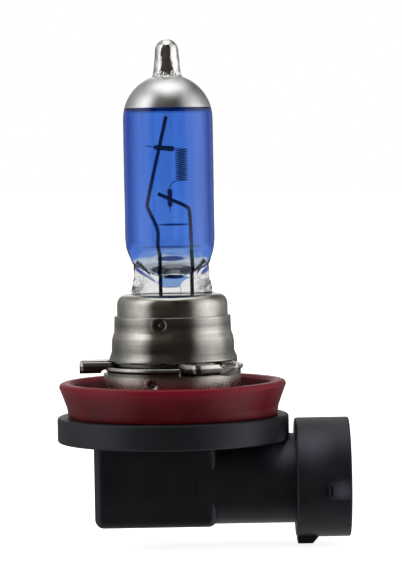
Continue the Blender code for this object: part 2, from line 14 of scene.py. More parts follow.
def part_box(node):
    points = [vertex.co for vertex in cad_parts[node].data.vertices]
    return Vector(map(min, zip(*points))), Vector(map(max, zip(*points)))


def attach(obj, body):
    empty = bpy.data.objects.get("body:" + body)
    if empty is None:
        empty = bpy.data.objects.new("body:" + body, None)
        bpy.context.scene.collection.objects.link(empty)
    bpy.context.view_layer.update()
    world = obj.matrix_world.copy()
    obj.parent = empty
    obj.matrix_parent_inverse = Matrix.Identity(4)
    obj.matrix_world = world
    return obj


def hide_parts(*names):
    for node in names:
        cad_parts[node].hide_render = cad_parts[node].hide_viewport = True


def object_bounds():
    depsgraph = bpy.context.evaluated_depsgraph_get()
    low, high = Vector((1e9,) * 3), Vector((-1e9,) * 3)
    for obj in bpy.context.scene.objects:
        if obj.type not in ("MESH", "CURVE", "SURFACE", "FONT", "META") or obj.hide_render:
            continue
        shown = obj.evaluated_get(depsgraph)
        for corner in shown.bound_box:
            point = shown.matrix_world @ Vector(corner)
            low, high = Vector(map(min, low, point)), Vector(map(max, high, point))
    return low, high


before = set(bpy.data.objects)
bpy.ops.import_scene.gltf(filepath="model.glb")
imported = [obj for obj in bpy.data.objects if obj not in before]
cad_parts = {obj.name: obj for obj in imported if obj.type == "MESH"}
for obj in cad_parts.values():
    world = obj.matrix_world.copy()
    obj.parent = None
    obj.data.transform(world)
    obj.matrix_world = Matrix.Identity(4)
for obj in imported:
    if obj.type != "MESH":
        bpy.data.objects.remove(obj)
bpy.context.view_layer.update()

MM = 0.001
FIT_GAP = 0.05  # mm, between two pieces that touch
SIDES = 192  # sides of the large turned pieces


def node_box(name):
    """The lowest and highest corner of a CAD node, in millimetres."""
    low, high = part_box(name)
    return low / MM, high / MM


# Driving dimensions, in millimetres, read from the frame
GLASS_LOW, GLASS_HIGH = node_box("glass_envelope")
COAT_LOW, COAT_HIGH = node_box("silver_top_coat")
CUP_LOW, CUP_HIGH = node_box("burner_cup")
SLEEVE_LOW, SLEEVE_HIGH = node_box("adjusting_sleeve")
COLLAR_LOW, COLLAR_HIGH = node_box("cap_collar")
SEAL_LOW, SEAL_HIGH = node_box("sealing_ring")
TAB_REACH = -node_box("bayonet_ring")[0].x  # the left tab points along -X
BASE_HIGH = node_box("base_housing")[1]

GLASS_R = GLASS_HIGH.x
GLASS_WALL = 1.0
COAT_THICKNESS = 0.12
COAT_INSET = 0.18  # from the coat's outside to the glass under it
DOME_CENTRE_Z = COAT_LOW.z - 1.5
HOLDER_X = (CUP_LOW.x + CUP_HIGH.x) / 2  # the cup, its sleeve and the pinch share this axis

SHEET = 0.32  # thickness of the steel
CUP_R = (CUP_HIGH.x - CUP_LOW.x) / 2
SLEEVE_FOOT_R = (SLEEVE_HIGH.x - SLEEVE_LOW.x) / 2
SLEEVE_UPPER_R, SLEEVE_LOWER_R = SLEEVE_FOOT_R - 0.75, SLEEVE_FOOT_R - 0.4
COLLAR_RIM_R = (COLLAR_HIGH.x - COLLAR_LOW.x) / 2
COLLAR_WALL_R = COLLAR_RIM_R - 0.3
COLLAR_TOP_Z = 0.45  # the collar's rim rises round the ring
RING_R, RING_BORE_R = 8.1, 5.5
RING_FOOT_Z, RING_TOP_Z = 0.12, 0.93
TAB_ANGLES = (180.0, 60.0, -60.0)
TAB_HALF_WIDTH, TAB_THICKNESS = 3.5, 1.05
BEAD_CENTRE, BEAD_R, BEAD_DEPTH = 1.4, 1.25, 0.5  # the bead pressed down into each tab

CONNECTOR_Z = -15.0
BARREL_R, BARREL_BORE_R, BARREL_START_X = 8.0, 6.7, 16.2
NECK_HALF_Y, NECK_HALF_Z = 6.85, 5.95
BODY_LOW, BODY_HIGH = (-10.5, -6.7, -20.8), (5.7, 6.7, -9.0)
LID_LEDGE = 1.9  # from the body's outside to the recess for its lid
HOLLOW_LOW, HOLLOW_HIGH = (-7.9, -4.1, BODY_LOW[2] + 0.5), (3.1, 4.1, -11.2)
LEAD_HOLE_R = 4.6
BLADE_Y = {"a": -2.5, "b": 2.5}


# Mesh helpers


def finish_piece(name, bm, material, nodes, crease=32):
    """Turn a bmesh in millimetres into a piece that rides on the bulb and stands for CAD nodes."""
    bmesh.ops.recalc_face_normals(bm, faces=bm.faces)
    piece = plain_object(name, bm, crease)
    set_material(piece, material)
    hand_over(piece, nodes)
    return piece


def hand_over(piece, nodes):
    """Put a piece on the root body and hide the CAD nodes that it stands for."""
    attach(piece, "root")
    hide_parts(*nodes)


def set_material(piece, material):
    """Make a material the only one on a piece."""
    piece.data.materials.clear()
    piece.data.materials.append(material)


def plain_object(name, bm, crease=32):
    """Turn a bmesh in millimetres into an object in metres."""
    bmesh.ops.scale(bm, vec=(MM, MM, MM), verts=bm.verts)
    mesh = bpy.data.meshes.new(name)
    bm.to_mesh(mesh)
    bm.free()
    smooth_by_angle(mesh, crease)
    return link(bpy.data.objects.new(name, mesh))


def smooth_by_angle(mesh, degrees):
    mesh.shade_smooth()
    mesh.set_sharp_from_angle(angle=math.radians(degrees))


def link(obj):
    bpy.context.scene.collection.objects.link(obj)
    return obj


def carve(target, bm, operation="DIFFERENCE"):
    """Cut a shape out of an object, or add it."""
    bmesh.ops.recalc_face_normals(bm, faces=bm.faces)
    combine(target, plain_object("tool", bm), operation)


def combine(target, other, operation):
    """Cut another object out of this one, or add it, and keep the result as this one's own mesh."""
    modifier = target.modifiers.new("combine", "BOOLEAN")
    modifier.operation = operation
    modifier.object = other
    settle(target)
    merge_slivers(target)
    bpy.data.objects.remove(other)


def settle(target):
    """Apply an object's modifiers."""
    graph = bpy.context.evaluated_depsgraph_get()
    mesh = bpy.data.meshes.new_from_object(target.evaluated_get(graph))
    target.modifiers.clear()
    target.data = mesh


def merge_slivers(target):
    """Merge the corners that a cut leaves less than a micrometre apart."""
    bm = bmesh.new()
    bm.from_mesh(target.data)
    bmesh.ops.dissolve_degenerate(bm, dist=0.001 * MM, edges=bm.edges)
    bmesh.ops.remove_doubles(bm, verts=bm.verts, dist=0.001 * MM)
    bm.to_mesh(target.data)
    bm.free()


def rounded(points, steps=5, closed=False):
    """A profile with rounded corners: a third value on a point is the radius of its corner."""
    flat = [Vector(point[:2]) for point in points]
    profile = []
    for i, point in enumerate(points):
        here = flat[i]
        at_end = not closed and i in (0, len(points) - 1)
        if len(point) < 3 or at_end:
            profile.append(here)
            continue
        to_last, to_next = flat[i - 1] - here, flat[(i + 1) % len(points)] - here
        half_angle = to_last.angle(to_next) / 2
        cut = point[2] / math.tan(half_angle)
        cut = min(cut, 0.49 * to_last.length, 0.49 * to_next.length)
        start = here + to_last.normalized() * cut
        end = here + to_next.normalized() * cut
        for step in range(steps + 1):
            t = step / steps
            profile.append(start * (1 - t) ** 2 + here * 2 * t * (1 - t) + end * t**2)
    return profile


def divided(profile, longest, closed=False):
    """The same profile with its long stretches divided."""
    points = [Vector(point[:2]) for point in profile]
    ends = points[1:] + (points[:1] if closed else [])
    result = []
    for start, end in zip(points, ends):
        count = max(1, math.ceil((end - start).length / longest))
        result += [start.lerp(end, i / count) for i in range(count)]
    if not closed:
        result.append(points[-1])
    return result


def around(sides):
    """Angles evenly spaced round a full turn."""
    return [2 * math.pi * i / sides for i in range(sides)]


def turned(profile, sides=SIDES, closed=False, shape=None, centre=(0.0, 0.0, 0.0)):
    """Turn (radius, height) points about Z. shape(angle, radius, height) gives a new radius, height."""
    bm = bmesh.new()
    rows = []
    for radius, height in (point[:2] for point in profile):
        if radius < 1e-4:
            rows.append([bm.verts.new(Vector(centre) + Vector((0, 0, height)))])
            continue
        row = []
        for angle in around(sides):
            r, z = shape(angle, radius, height) if shape else (radius, height)
            place = Vector((r * math.cos(angle), r * math.sin(angle), z))
            row.append(bm.verts.new(Vector(centre) + place))
        rows.append(row)
    skin(bm, rows, closed)
    return bm


def round_row(bm, radii, height, centre_x=0.0):
    """A level row of vertices round an upright axis, with a radius for each."""
    row = []
    for r, angle in zip(radii, around(len(radii))):
        row.append(bm.verts.new((centre_x + r * math.cos(angle), r * math.sin(angle), height)))
    return row


def skin(bm, rows, closed=False):
    """Faces between rows of vertices, where a row of one vertex is a pole."""
    pairs = list(zip(rows, rows[1:]))
    if closed:
        pairs.append((rows[-1], rows[0]))
    for low, high in pairs:
        count = max(len(low), len(high))
        for i in range(count):
            j = (i + 1) % count
            corners = [low[i % len(low)], low[j % len(low)], high[j % len(high)], high[i % len(high)]]
            distinct = list(dict.fromkeys(corners))
            if len(distinct) > 2:
                bm.faces.new(distinct)


def capped_skin(bm, rows):
    """Faces between rows of vertices, with a flat end at the first and at the last row."""
    skin(bm, rows)
    bm.faces.new(rows[0])
    bm.faces.new(rows[-1])


def block(low, high, rounding=0.0, segments=4):
    """A box between two corners, with all its edges rounded."""
    bm = bmesh.new()
    size = [b - a for a, b in zip(low, high)]
    middle = [(a + b) / 2 for a, b in zip(low, high)]
    matrix = Matrix.Translation(middle) @ Matrix.Diagonal((*size, 1.0))
    bmesh.ops.create_cube(bm, size=1.0, matrix=matrix)
    if rounding:
        round_edges(bm, bm.edges, rounding, segments)
    return bm


def round_edges(bm, edges, rounding, segments=3):
    bmesh.ops.bevel(
        bm, geom=list(edges), offset=rounding, segments=segments, profile=0.5, affect="EDGES"
    )


def prism(outline, direction):
    """Extrude a flat outline of 3-D points along a direction."""
    bm = bmesh.new()
    face = bm.faces.new([bm.verts.new(point) for point in outline])
    grown = bmesh.ops.extrude_face_region(bm, geom=[face])
    moved = [item for item in grown["geom"] if isinstance(item, bmesh.types.BMVert)]
    bmesh.ops.translate(bm, vec=direction, verts=moved)
    return bm


def spin_mesh(bm, axis, degrees):
    matrix = Matrix.Rotation(math.radians(degrees), 3, axis)
    bmesh.ops.rotate(bm, cent=(0, 0, 0), matrix=matrix, verts=bm.verts)


def smooth_value(table, height):
    """Read a table of (height, value, value ...) rows on a smooth curve."""
    rows = sorted(table)
    if height <= rows[0][0]:
        return rows[0][1:]
    if height >= rows[-1][0]:
        return rows[-1][1:]
    at = max(i for i, row in enumerate(rows) if row[0] <= height)
    at = min(at, len(rows) - 2)
    low, high = rows[at], rows[at + 1]
    before, after = rows[max(at - 1, 0)], rows[min(at + 2, len(rows) - 1)]
    span = high[0] - low[0]
    t = (height - low[0]) / span
    values = []
    for k in range(1, len(low)):
        tangent_low = (high[k] - before[k]) / (high[0] - before[0]) * span
        tangent_high = (after[k] - low[k]) / (after[0] - low[0]) * span
        values.append(
            low[k] * (2 * t**3 - 3 * t**2 + 1)
            + tangent_low * (t**3 - 2 * t**2 + t)
            + high[k] * (3 * t**2 - 2 * t**3)
            + tangent_high * (t**3 - t**2)
        )
    return values


def smooth_step(low, high, value):
    t = min(1.0, max(0.0, (value - low) / (high - low)))
    return t * t * (3 - 2 * t)


def oval_reach(half_x, half_y, squareness, angle):
    """How far an oval reaches from its centre at an angle; squareness 2 is an ellipse."""
    across = abs(math.cos(angle) / half_x) ** squareness
    along = abs(math.sin(angle) / half_y) ** squareness
    return (across + along) ** (-1 / squareness)


def oval_radii(half_x, half_y, squareness=2.0, sides=SIDES):
    return [oval_reach(half_x, half_y, squareness, angle) for angle in around(sides)]


# Materials


class Nodes:
    """A node tree being put together, with short calls for the nodes that come up often."""

    def __init__(self, tree):
        self.tree = tree

    def add(self, kind, inputs=None, **settings):
        node = self.tree.nodes.new(kind)
        for key, value in settings.items():
            setattr(node, key, value)
        for key, value in (inputs or {}).items():
            self.feed(node.inputs[key], value)
        return node

    def feed(self, socket, value):
        if isinstance(value, bpy.types.NodeSocket):
            self.tree.links.new(value, socket)
        elif isinstance(value, tuple) and len(value) == 3 and socket.type == "RGBA":
            socket.default_value = (*value, 1.0)
        else:
            socket.default_value = value

    def ramp(self, value, stops, smooth=True):
        """Colours or greys at positions from 0 to 1."""
        node = self.add("ShaderNodeValToRGB", {"Fac": value})
        node.color_ramp.interpolation = "EASE" if smooth else "LINEAR"
        elements = node.color_ramp.elements
        while len(elements) < len(stops):
            elements.new(0.5)
        for element, (position, colour) in zip(elements, stops):
            element.position = position
            grey = isinstance(colour, float)
            element.color = (colour,) * 3 + (1.0,) if grey else (*colour, 1.0)
        return node.outputs["Color"]

    def span(self, value, low, high, to_low=0.0, to_high=1.0, kind="LINEAR"):
        """Map the stretch from low to high onto another one, and hold its ends outside."""
        inputs = {"Value": value, "From Min": low, "From Max": high, "To Min": to_low, "To Max": to_high}
        return self.add("ShaderNodeMapRange", inputs, interpolation_type=kind).outputs["Result"]

    def ease(self, value, low, high, to_low=0.0, to_high=1.0):
        """The same with soft ends."""
        return self.span(value, low, high, to_low, to_high, "SMOOTHSTEP")

    def mix(self, share, first, second, kind="MIX"):
        node = self.add("ShaderNodeMix", data_type="RGBA", blend_type=kind)
        self.feed(node.inputs[0], share)
        self.feed(node.inputs[6], first)
        self.feed(node.inputs[7], second)
        return node.outputs[2]

    def cover(self, colour, share, strength, over):
        """A colour with another over it, as strongly as its share times a strength."""
        return self.mix(self.product(share, strength), colour, over)

    def maths(self, operation, *values):
        return self.add("ShaderNodeMath", dict(enumerate(values)), operation=operation).outputs[0]

    def product(self, first, *others):
        for other in others:
            first = self.maths("MULTIPLY", first, other)
        return first


class Finish(Nodes):
    """A material being put together from nodes, all placed by object coordinates in metres."""

    def __init__(self, name, **shader_values):
        self.material = bpy.data.materials.new(name)
        self.material.use_nodes = True
        super().__init__(self.material.node_tree)
        self.shader = self.tree.nodes["Principled BSDF"]
        self.place = self.add("ShaderNodeTexCoord").outputs["Object"]
        self.set(**shader_values)

    def set(self, **values):
        for key, value in values.items():
            self.feed(self.shader.inputs[key.replace("_", " ")], value)

    def stretched(self, x, y, z):
        """Object coordinates scaled along each axis."""
        return self.add("ShaderNodeMapping", {"Vector": self.place, "Scale": (x, y, z)}).outputs["Vector"]

    def noise(self, size, detail=3.0, place=None):
        """Noise whose grain is about size millimetres."""
        inputs = {"Vector": place or self.place, "Scale": 1 / (size * MM)}
        inputs |= {"Detail": detail, "Roughness": 0.55}
        return self.add("ShaderNodeTexNoise", inputs).outputs["Fac"]

    def vary(self, cloud, first, second):
        """A number, or a colour, that varies between two with a noise."""
        if isinstance(first, float):
            return self.span(cloud, 0.3, 0.7, first, second)
        return self.ramp(cloud, [(0.3, first), (0.7, second)])

    def tint(self, colour, value, stops):
        """A colour multiplied by those that a ramp gives."""
        return self.mix(1.0, colour, self.ramp(value, stops), "MULTIPLY")

    def axis(self, name):
        """One object coordinate, in millimetres."""
        split = self.add("ShaderNodeSeparateXYZ", {"Vector": self.place})
        return self.product(split.outputs[name], 1 / MM)

    def length(self, vector):
        return self.add("ShaderNodeVectorMath", {0: vector}, operation="LENGTH").outputs["Value"]

    def from_axis(self):
        """Distance from the Z axis, in millimetres."""
        inputs = {0: self.place, 1: (1 / MM, 1 / MM, 0.0)}
        return self.length(self.add("ShaderNodeVectorMath", inputs, operation="MULTIPLY").outputs[0])

    def inside_oval(self, centre, half, tilt, soft):
        """One inside an oval drawn on the X-Z plane in millimetres, tilted by degrees."""
        inputs = {"Vector": self.place, "Location": (centre[0] * MM, 0.0, centre[1] * MM)}
        inputs |= {"Rotation": (0.0, math.radians(-tilt), 0.0)}
        inputs |= {"Scale": (half[0] * MM, 1000.0, half[1] * MM)}
        local = self.add("ShaderNodeMapping", inputs, vector_type="TEXTURE").outputs["Vector"]
        return self.ease(self.length(local), 1.0 + soft / 2, 1.0 - soft / 2)

    def distance(self, point):
        """Distance from a point given in millimetres, in millimetres."""
        inputs = {0: self.place, 1: [value * MM for value in point]}
        node = self.add("ShaderNodeVectorMath", inputs, operation="DISTANCE")
        return self.product(node.outputs["Value"], 1 / MM)

    def bump(self, height, depth):
        """Relief of a depth in millimetres, chained after any relief that is already there."""
        node = self.add("ShaderNodeBump", {"Strength": 1.0, "Height": height, "Distance": depth * MM})
        normal = self.shader.inputs["Normal"]
        if normal.is_linked:
            self.feed(node.inputs["Normal"], normal.links[0].from_socket)
        self.feed(normal, node.outputs["Normal"])


QUARTZ = {"Roughness": 0.01, "IOR": 1.46, "Transmission_Weight": 1.0}
BLUE_BY_EDGE = [  # painted shade, from facing the viewer to on edge, darkest in a navy band near the outline
    (0.0, (0.064, 0.190, 0.70)), (0.28, (0.048, 0.158, 0.64)), (0.36, (0.021, 0.095, 0.49)),
    (0.44, (0.0065, 0.050, 0.315)), (0.56, (0.001, 0.022, 0.20)), (0.67, (0.022, 0.060, 0.31)),
    (1.0, (0.050, 0.070, 0.38)),
]
BLUE_END_Z = 14.1  # the blue coat fades out here, above the clear pinch
BARE = 0.76  # how much light a bare wall lets through
FOOT_PAINTED_LIGHT = [  # painted light and shade for what the thick foot of the tube shows by refraction and reflection: centre, half size, tilt, softness, colour
    ((0.1, 14.2), (4.7, 2.0), 0, 0.22, (0.53, 0.60, 0.74)),  # painted pale halo over the foot
    ((0.2, 14.75), (1.9, 0.36), 0, 0.5, (0.045, 0.085, 0.26)),
    ((0.1, 13.6), (4.2, 0.7), 0, 0.5, (0.38, 0.43, 0.50)),  # painted pale band below it
    ((0.30, 13.2), (3.0, 0.72), 0, 0.25, (0.050, 0.054, 0.080)),  # painted shade in the dark mouth of the gas space
    ((0.43, 13.7), (1.45, 0.26), 0, 0.6, (0.22, 0.24, 0.28)),
    ((0.62, 12.95), (0.85, 0.26), 0, 0.6, (0.16, 0.17, 0.19)),
    ((0.62, 11.56), (2.42, 1.12), 0, 0.06, (0.66, 0.66, 0.66)),  # painted highlight on the rim of the foot
    ((0.62, 11.50), (2.30, 1.04), 0, 0.06, (0.19, 0.33, 0.60)),  # painted pale blue light in the foot
    ((0.42, 12.20), (1.50, 0.25), 0, 0.3, (0.006, 0.018, 0.085)),
    ((2.72, 10.50), (1.50, 1.50), 0, 0.05, (0.75, 0.77, 0.80)),
    ((2.86, 10.38), (1.52, 1.52), 0, 0.05, (BARE, BARE, BARE)),
    ((0.0, 9.25), (6.00, 1.60), 0, 0.04, (BARE, BARE, BARE)),
    ((0.0, 10.35), (5.3, 0.55), 0, 0.3, (0.80, 0.80, 0.80)),
    ((0.05, 10.86), (1.40, 0.07), 0, 0.8, (0.05, 0.09, 0.22)),
    ((-1.26, 10.35), (0.06, 0.60), 0, 0.8, (0.12, 0.13, 0.16)),
    ((1.36, 10.35), (0.05, 0.60), 0, 0.8, (0.30, 0.31, 0.33)),
    ((-3.95, 13.00), (1.35, 0.30), -36, 0.5, (0.07, 0.11, 0.36)),  # painted blue in the shoulders
    ((4.75, 13.15), (0.9, 0.36), 45, 0.5, (0.06, 0.10, 0.36)),
    ((-2.75, 12.15), (1.10, 0.20), -36, 0.8, (0.20, 0.25, 0.42)),
    ((-3.60, 13.06), (1.90, 0.085), -36, 0.6, (0.75, 0.77, 0.80)),  # painted highlights on the edges of the shoulders
    ((4.20, 13.05), (1.20, 0.085), 45, 0.6, (0.75, 0.77, 0.80)),
    ((-3.40, 13.40), (1.25, 0.17), -52, 0.5, (0.050, 0.056, 0.070)),
    ((3.95, 13.35), (0.95, 0.15), 62, 0.5, (0.075, 0.080, 0.095)),
    ((0.55, 19.27), (2.20, 0.16), 0, 0.8, (0.012, 0.060, 0.17)),  # painted view of the belt through the wall
    ((0.55, 16.33), (4.10, 0.17), 0, 0.8, (0.16, 0.245, 0.42)),
    ((0.45, 16.33), (1.70, 0.19), 0, 0.8, (0.11, 0.19, 0.34)),
]


def blue_glass():
    """Quartz with a blue coat outside, painted deeper where it is seen on edge as painted shade, and clear
    at the pinch, with painted light and shade on the front wall for what the thick foot shows.
    """
    finish = Finish("blue_glass", Specular_IOR_Level=0.18, **QUARTZ)
    height = finish.axis("Z")
    facing = finish.add("ShaderNodeLayerWeight", {"Blend": 0.5}).outputs["Facing"]
    # painted shade: the blue deepens as the wall turns on edge
    blue = finish.ramp(finish.product(facing, finish.span(height, 15.2, 17.0, 0.3, 1.0)), BLUE_BY_EDGE)
    streak = finish.noise(1.1, detail=2.0, place=finish.stretched(1.0, 1.0, 0.04))
    blue = finish.tint(blue, streak, [(0.35, 0.84), (0.65, 1.0)])
    upwards = finish.span(height, 18.0, 27.0)
    blue = finish.tint(blue, upwards, [(0.0, (1.0, 1.0, 1.0)), (1.0, (0.80, 0.88, 0.95))])
    cloud = finish.span(finish.noise(3.0, detail=1.0), 0.35, 0.65, -0.2, 0.2)
    coated = finish.ease(finish.maths("ADD", height, cloud), BLUE_END_Z - 0.3, BLUE_END_Z + 0.3)
    colour = finish.mix(coated, (BARE, BARE, 0.99 * BARE), blue)
    # painted light and shade for what the foot shows, on the front wall only
    painted = colour
    for centre, half, tilt, soft, seen in FOOT_PAINTED_LIGHT:
        share = finish.inside_oval(centre, half, tilt, soft)
        painted = finish.mix(share, painted, tuple(min(1.0, value * value / BARE) for value in seen))
    in_front = finish.span(finish.axis("Y"), 0.0, -0.1)
    colour = finish.mix(in_front, colour, painted)
    # painted shade along the crinkled narrow sides of the press
    to_edge = finish.maths("ABSOLUTE", finish.axis("X"))
    crinkle = finish.ease(finish.noise(0.6, detail=2.0), 0.42, 0.56)
    shade = finish.product(finish.span(to_edge, 2.9, 4.4), finish.span(height, 13.0, 12.0), crinkle)
    colour = finish.cover(colour, shade, 0.85, (0.10, 0.10, 0.115))
    band = finish.ease(height, COAT_LOW.z - 0.5, COAT_LOW.z - 0.3)
    finish.set(Base_Color=finish.mix(band, colour, (0.010, 0.060, 0.32)))
    finish.bump(finish.noise(2.6, detail=1.0), 0.006)
    return finish.material


def clear_glass():
    """The bare inside surface of the envelope."""
    finish = Finish("clear_glass", **QUARTZ)
    cloud = finish.noise(2.0, detail=1.0)
    finish.set(Base_Color=finish.vary(cloud, (0.95, 0.955, 0.96), (0.98, 0.98, 0.98)))
    finish.bump(cloud, 0.006)
    return finish.material


def silver_coat():
    """A mirror on the tip that turns satin over the dome."""
    finish = Finish("silver_coat", Metallic=1.0)
    tip_foot = COAT_HIGH.z - 4.9
    on_tip = finish.ease(finish.axis("Z"), tip_foot - 0.3, tip_foot + 0.25)
    cloud = finish.noise(1.3)
    satin = finish.vary(cloud, 0.29, 0.34)
    tint = finish.vary(cloud, (0.69, 0.69, 0.68), (0.76, 0.76, 0.755))
    bright = finish.vary(cloud, (0.80, 0.79, 0.78), (0.90, 0.89, 0.88))
    finish.set(Roughness=finish.mix(on_tip, satin, finish.vary(cloud, 0.09, 0.14)))
    finish.set(Base_Color=finish.mix(on_tip, tint, bright))
    finish.bump(finish.product(on_tip, finish.noise(1.1, detail=1.0)), 0.10)
    return finish.material


def dark_wire(name, colour, grain):
    """Drawn and burnt refractory metal."""
    finish = Finish(name, Metallic=1.0)
    cloud = finish.noise(grain, detail=4.0)
    dark = tuple(0.45 * value for value in colour)
    finish.set(Base_Color=finish.ramp(cloud, [(0.35, dark), (0.65, colour)]))
    finish.set(Roughness=finish.vary(cloud, 0.32, 0.55))
    finish.bump(finish.noise(grain / 4), 0.006)
    return finish.material


SLEEVE_WELD_Z, SLEEVE_WELD_ANGLE = 6.1, -101.0
COLLAR_WELD_Z, COLLAR_WELD_ANGLE = -1.75, -106.0


def weld_points(radius, height, first_angle, shift=0.0):
    """The centres of three evenly spaced weld marks on a turned wall."""
    points = []
    for i in range(3):
        angle = math.radians(first_angle + 120 * i)
        points.append((shift + radius * math.cos(angle), radius * math.sin(angle), height))
    return points


def nickel(name, marks=(), mark_reach=1.0, grain=0.0, painted_shading=(), recess_shade_r=0.0, painted_side_shade=False):
    """Nickel-plated steel sheet with turning lines, handling haze and heat round its weld marks.

    The heights listed for the plating give how bright it is painted there, painted light and shade by
    height; inside the radius given from the axis the metal is painted dark as shade in the recess, less so
    towards +X; the upright faces low on a piece can be painted dark as shade.
    """
    finish = Finish(name, Metallic=1.0)
    patch_share = finish.noise(2.2, detail=4.0)
    lines = finish.noise(1.0, detail=4.0, place=finish.stretched(0.35, 0.35, 9.0))
    colour = finish.vary(patch_share, (0.56, 0.535, 0.48), (0.70, 0.68, 0.63))
    colour = finish.mix(finish.span(lines, 0.35, 0.7, 0.0, 0.18), colour, (0.40, 0.385, 0.35))
    line_relief = finish.vary(lines, -0.015, 0.02)
    rough = finish.maths("ADD", finish.vary(patch_share, 0.17, 0.24), line_relief)
    finish.bump(lines, 0.0025)
    if grain:
        speckle = finish.noise(grain, detail=2.0)
        rough = finish.maths("ADD", rough, finish.span(speckle, 0.35, 0.65, -0.04, 0.12))
        finish.bump(speckle, 0.012)
    # painted light and shade by height
    if painted_shading:
        first, last = painted_shading[0][0], painted_shading[-1][0]
        stops = [((height - first) / (last - first), level) for height, level in painted_shading]
        colour = finish.tint(colour, finish.span(finish.axis("Z"), first, last), stops)
    # painted shade on the upright faces low on the piece
    if painted_side_shade:
        normal = finish.add("ShaderNodeTexCoord").outputs["Normal"]
        upright = finish.add("ShaderNodeSeparateXYZ", {0: normal}).outputs["Z"]
        edge = finish.product(finish.ease(upright, 0.5, 0.2), finish.ease(finish.axis("Z"), 0.62, 0.52))
        colour = finish.cover(colour, edge, 0.85, (0.05, 0.046, 0.038))
    # painted shade in the recess near the axis, fading towards +X
    if recess_shade_r:
        to_right = finish.span(finish.axis("X"), 4.2, 2.2, 0.25, 1.0)
        recess_shade = finish.product(finish.ease(finish.from_axis(), recess_shade_r + 0.3, recess_shade_r), to_right)
        colour = finish.cover(colour, recess_shade, 0.85, (0.02, 0.018, 0.015))
    for point in marks:
        away = finish.distance(point)
        ring = finish.ease(away, mark_reach, 0.55 * mark_reach)
        colour = finish.cover(colour, ring, 0.75, (0.09, 0.08, 0.065))
        centre = finish.ease(away, 0.42 * mark_reach, 0.2 * mark_reach)
        colour = finish.cover(colour, centre, 0.8, (0.36, 0.34, 0.31))
    finish.set(Base_Color=colour, Roughness=rough)
    return finish.material


# Painted light and shade: how bright the plating is painted at each height
CUP_PAINTED_SHADING = [(7.0, 0.70), (8.0, 0.80), (9.0, 0.88), (10.3, 0.92)]
COLLAR_PAINTED_SHADING = [(-3.0, 1.0), (-1.4, 0.95), (-0.95, 0.8), (-0.55, 0.32), (-0.1, 0.22), (0.08, 0.5)]
COLLAR_PAINTED_SHADING += [(0.2, 0.9), (0.45, 0.95)]
SLEEVE_PAINTED_SHADING = [(0.9, 0.75), (1.6, 0.62), (2.1, 0.48), (2.7, 0.43), (3.2, 0.50), (3.8, 0.64)]
SLEEVE_PAINTED_SHADING += [(4.3, 0.90), (4.9, 0.93), (5.4, 0.68), (5.9, 0.45), (6.5, 0.60), (7.0, 0.78)]


def red_silicone():
    """Dark red silicone, painted brighter along the lip as painted light, with a fine skin and a little
    dust.
    """
    finish = Finish("red_silicone", Specular_IOR_Level=0.22)
    cloud = finish.noise(3.0, detail=4.0)
    colour = finish.vary(cloud, (0.085, 0.0030, 0.0058), (0.125, 0.0042, 0.0085))
    # painted light: the top of the lip brighter than the wall below
    lip = finish.ease(finish.axis("Z"), SEAL_HIGH.z - 1.9, SEAL_HIGH.z - 0.5)
    colour = finish.mix(lip, colour, (0.170, 0.0036, 0.013))
    dust = finish.ease(finish.noise(0.28, detail=2.0), 0.735, 0.80)
    colour = finish.cover(colour, dust, 0.6, (0.42, 0.16, 0.15))
    finish.set(Base_Color=colour, Roughness=finish.vary(cloud, 0.34, 0.44))
    finish.bump(finish.noise(0.35), 0.012)
    return finish.material


PARTING_Z = -15.9  # the mould's parting line round the shroud
SHADED_FLANGE_END = (14.6, -6.0, -8.0)  # where the flange's reflections are turned down, a painted shade
PAINTED_PLASTIC_HIGHLIGHTS = [  # painted highlights: centre and reach of paler patches
    ((14.8, -5.4, -11.0), 3.6),
    ((18.3, -6.5, -10.2), 4.0),
    ((22.2, -8.6, -16.0), 2.1),
]


def black_plastic():
    """Glass-filled black nylon with a fine moulded grain, a little dust, a parting line, painted highlights
    on the neck, shroud and lug, and painted shade as weaker reflections at the flange's end.
    """
    finish = Finish("black_plastic", Specular_Tint=(0.86, 0.89, 1.0))
    x, z = finish.axis("X"), finish.axis("Z")
    cloud = finish.noise(4.0, detail=5.0)
    streak = finish.noise(1.4, detail=4.0, place=finish.stretched(1.0, 1.0, 0.12))
    colour = finish.vary(cloud, (0.0062, 0.0068, 0.0086), (0.0104, 0.0111, 0.0138))
    colour = finish.mix(finish.span(streak, 0.4, 0.7, 0.0, 0.3), colour, (0.014, 0.015, 0.019))
    dust = finish.ease(finish.noise(0.25, detail=2.0), 0.74, 0.80)
    colour = finish.cover(colour, dust, 0.5, (0.07, 0.07, 0.075))
    from_line = finish.maths("ABSOLUTE", finish.maths("SUBTRACT", z, PARTING_Z))
    on_barrel = finish.span(x, BARREL_START_X, BARREL_START_X + 0.1)
    line = finish.product(finish.span(from_line, 0.08, 0.03), on_barrel)
    colour = finish.cover(colour, line, 0.6, (0.002, 0.002, 0.003))
    # painted highlights on the neck, the shroud and the lug
    for point, reach in PAINTED_PLASTIC_HIGHLIGHTS:
        patch_share = finish.ease(finish.distance(point), reach, 0.0)
        colour = finish.cover(colour, patch_share, 0.8, (0.062, 0.061, 0.084))
    grain = finish.noise(0.16)
    rough = finish.vary(cloud, 0.44, 0.52)
    rough = finish.maths("ADD", rough, finish.vary(grain, -0.04, 0.06))
    # painted shade: weaker reflections near the end of the flange
    near_end = finish.ease(finish.distance(SHADED_FLANGE_END), 9.0, 3.0)
    on_flange = (finish.span(z, -9.9, -9.7), finish.span(finish.from_axis(), 15.9, 15.7))
    flange_shade = finish.product(near_end, *on_flange)
    finish.set(Base_Color=colour, Roughness=rough)
    finish.set(Specular_IOR_Level=finish.span(flange_shade, 0.0, 1.0, 0.47, 0.12))
    finish.bump(grain, 0.012)
    return finish.material


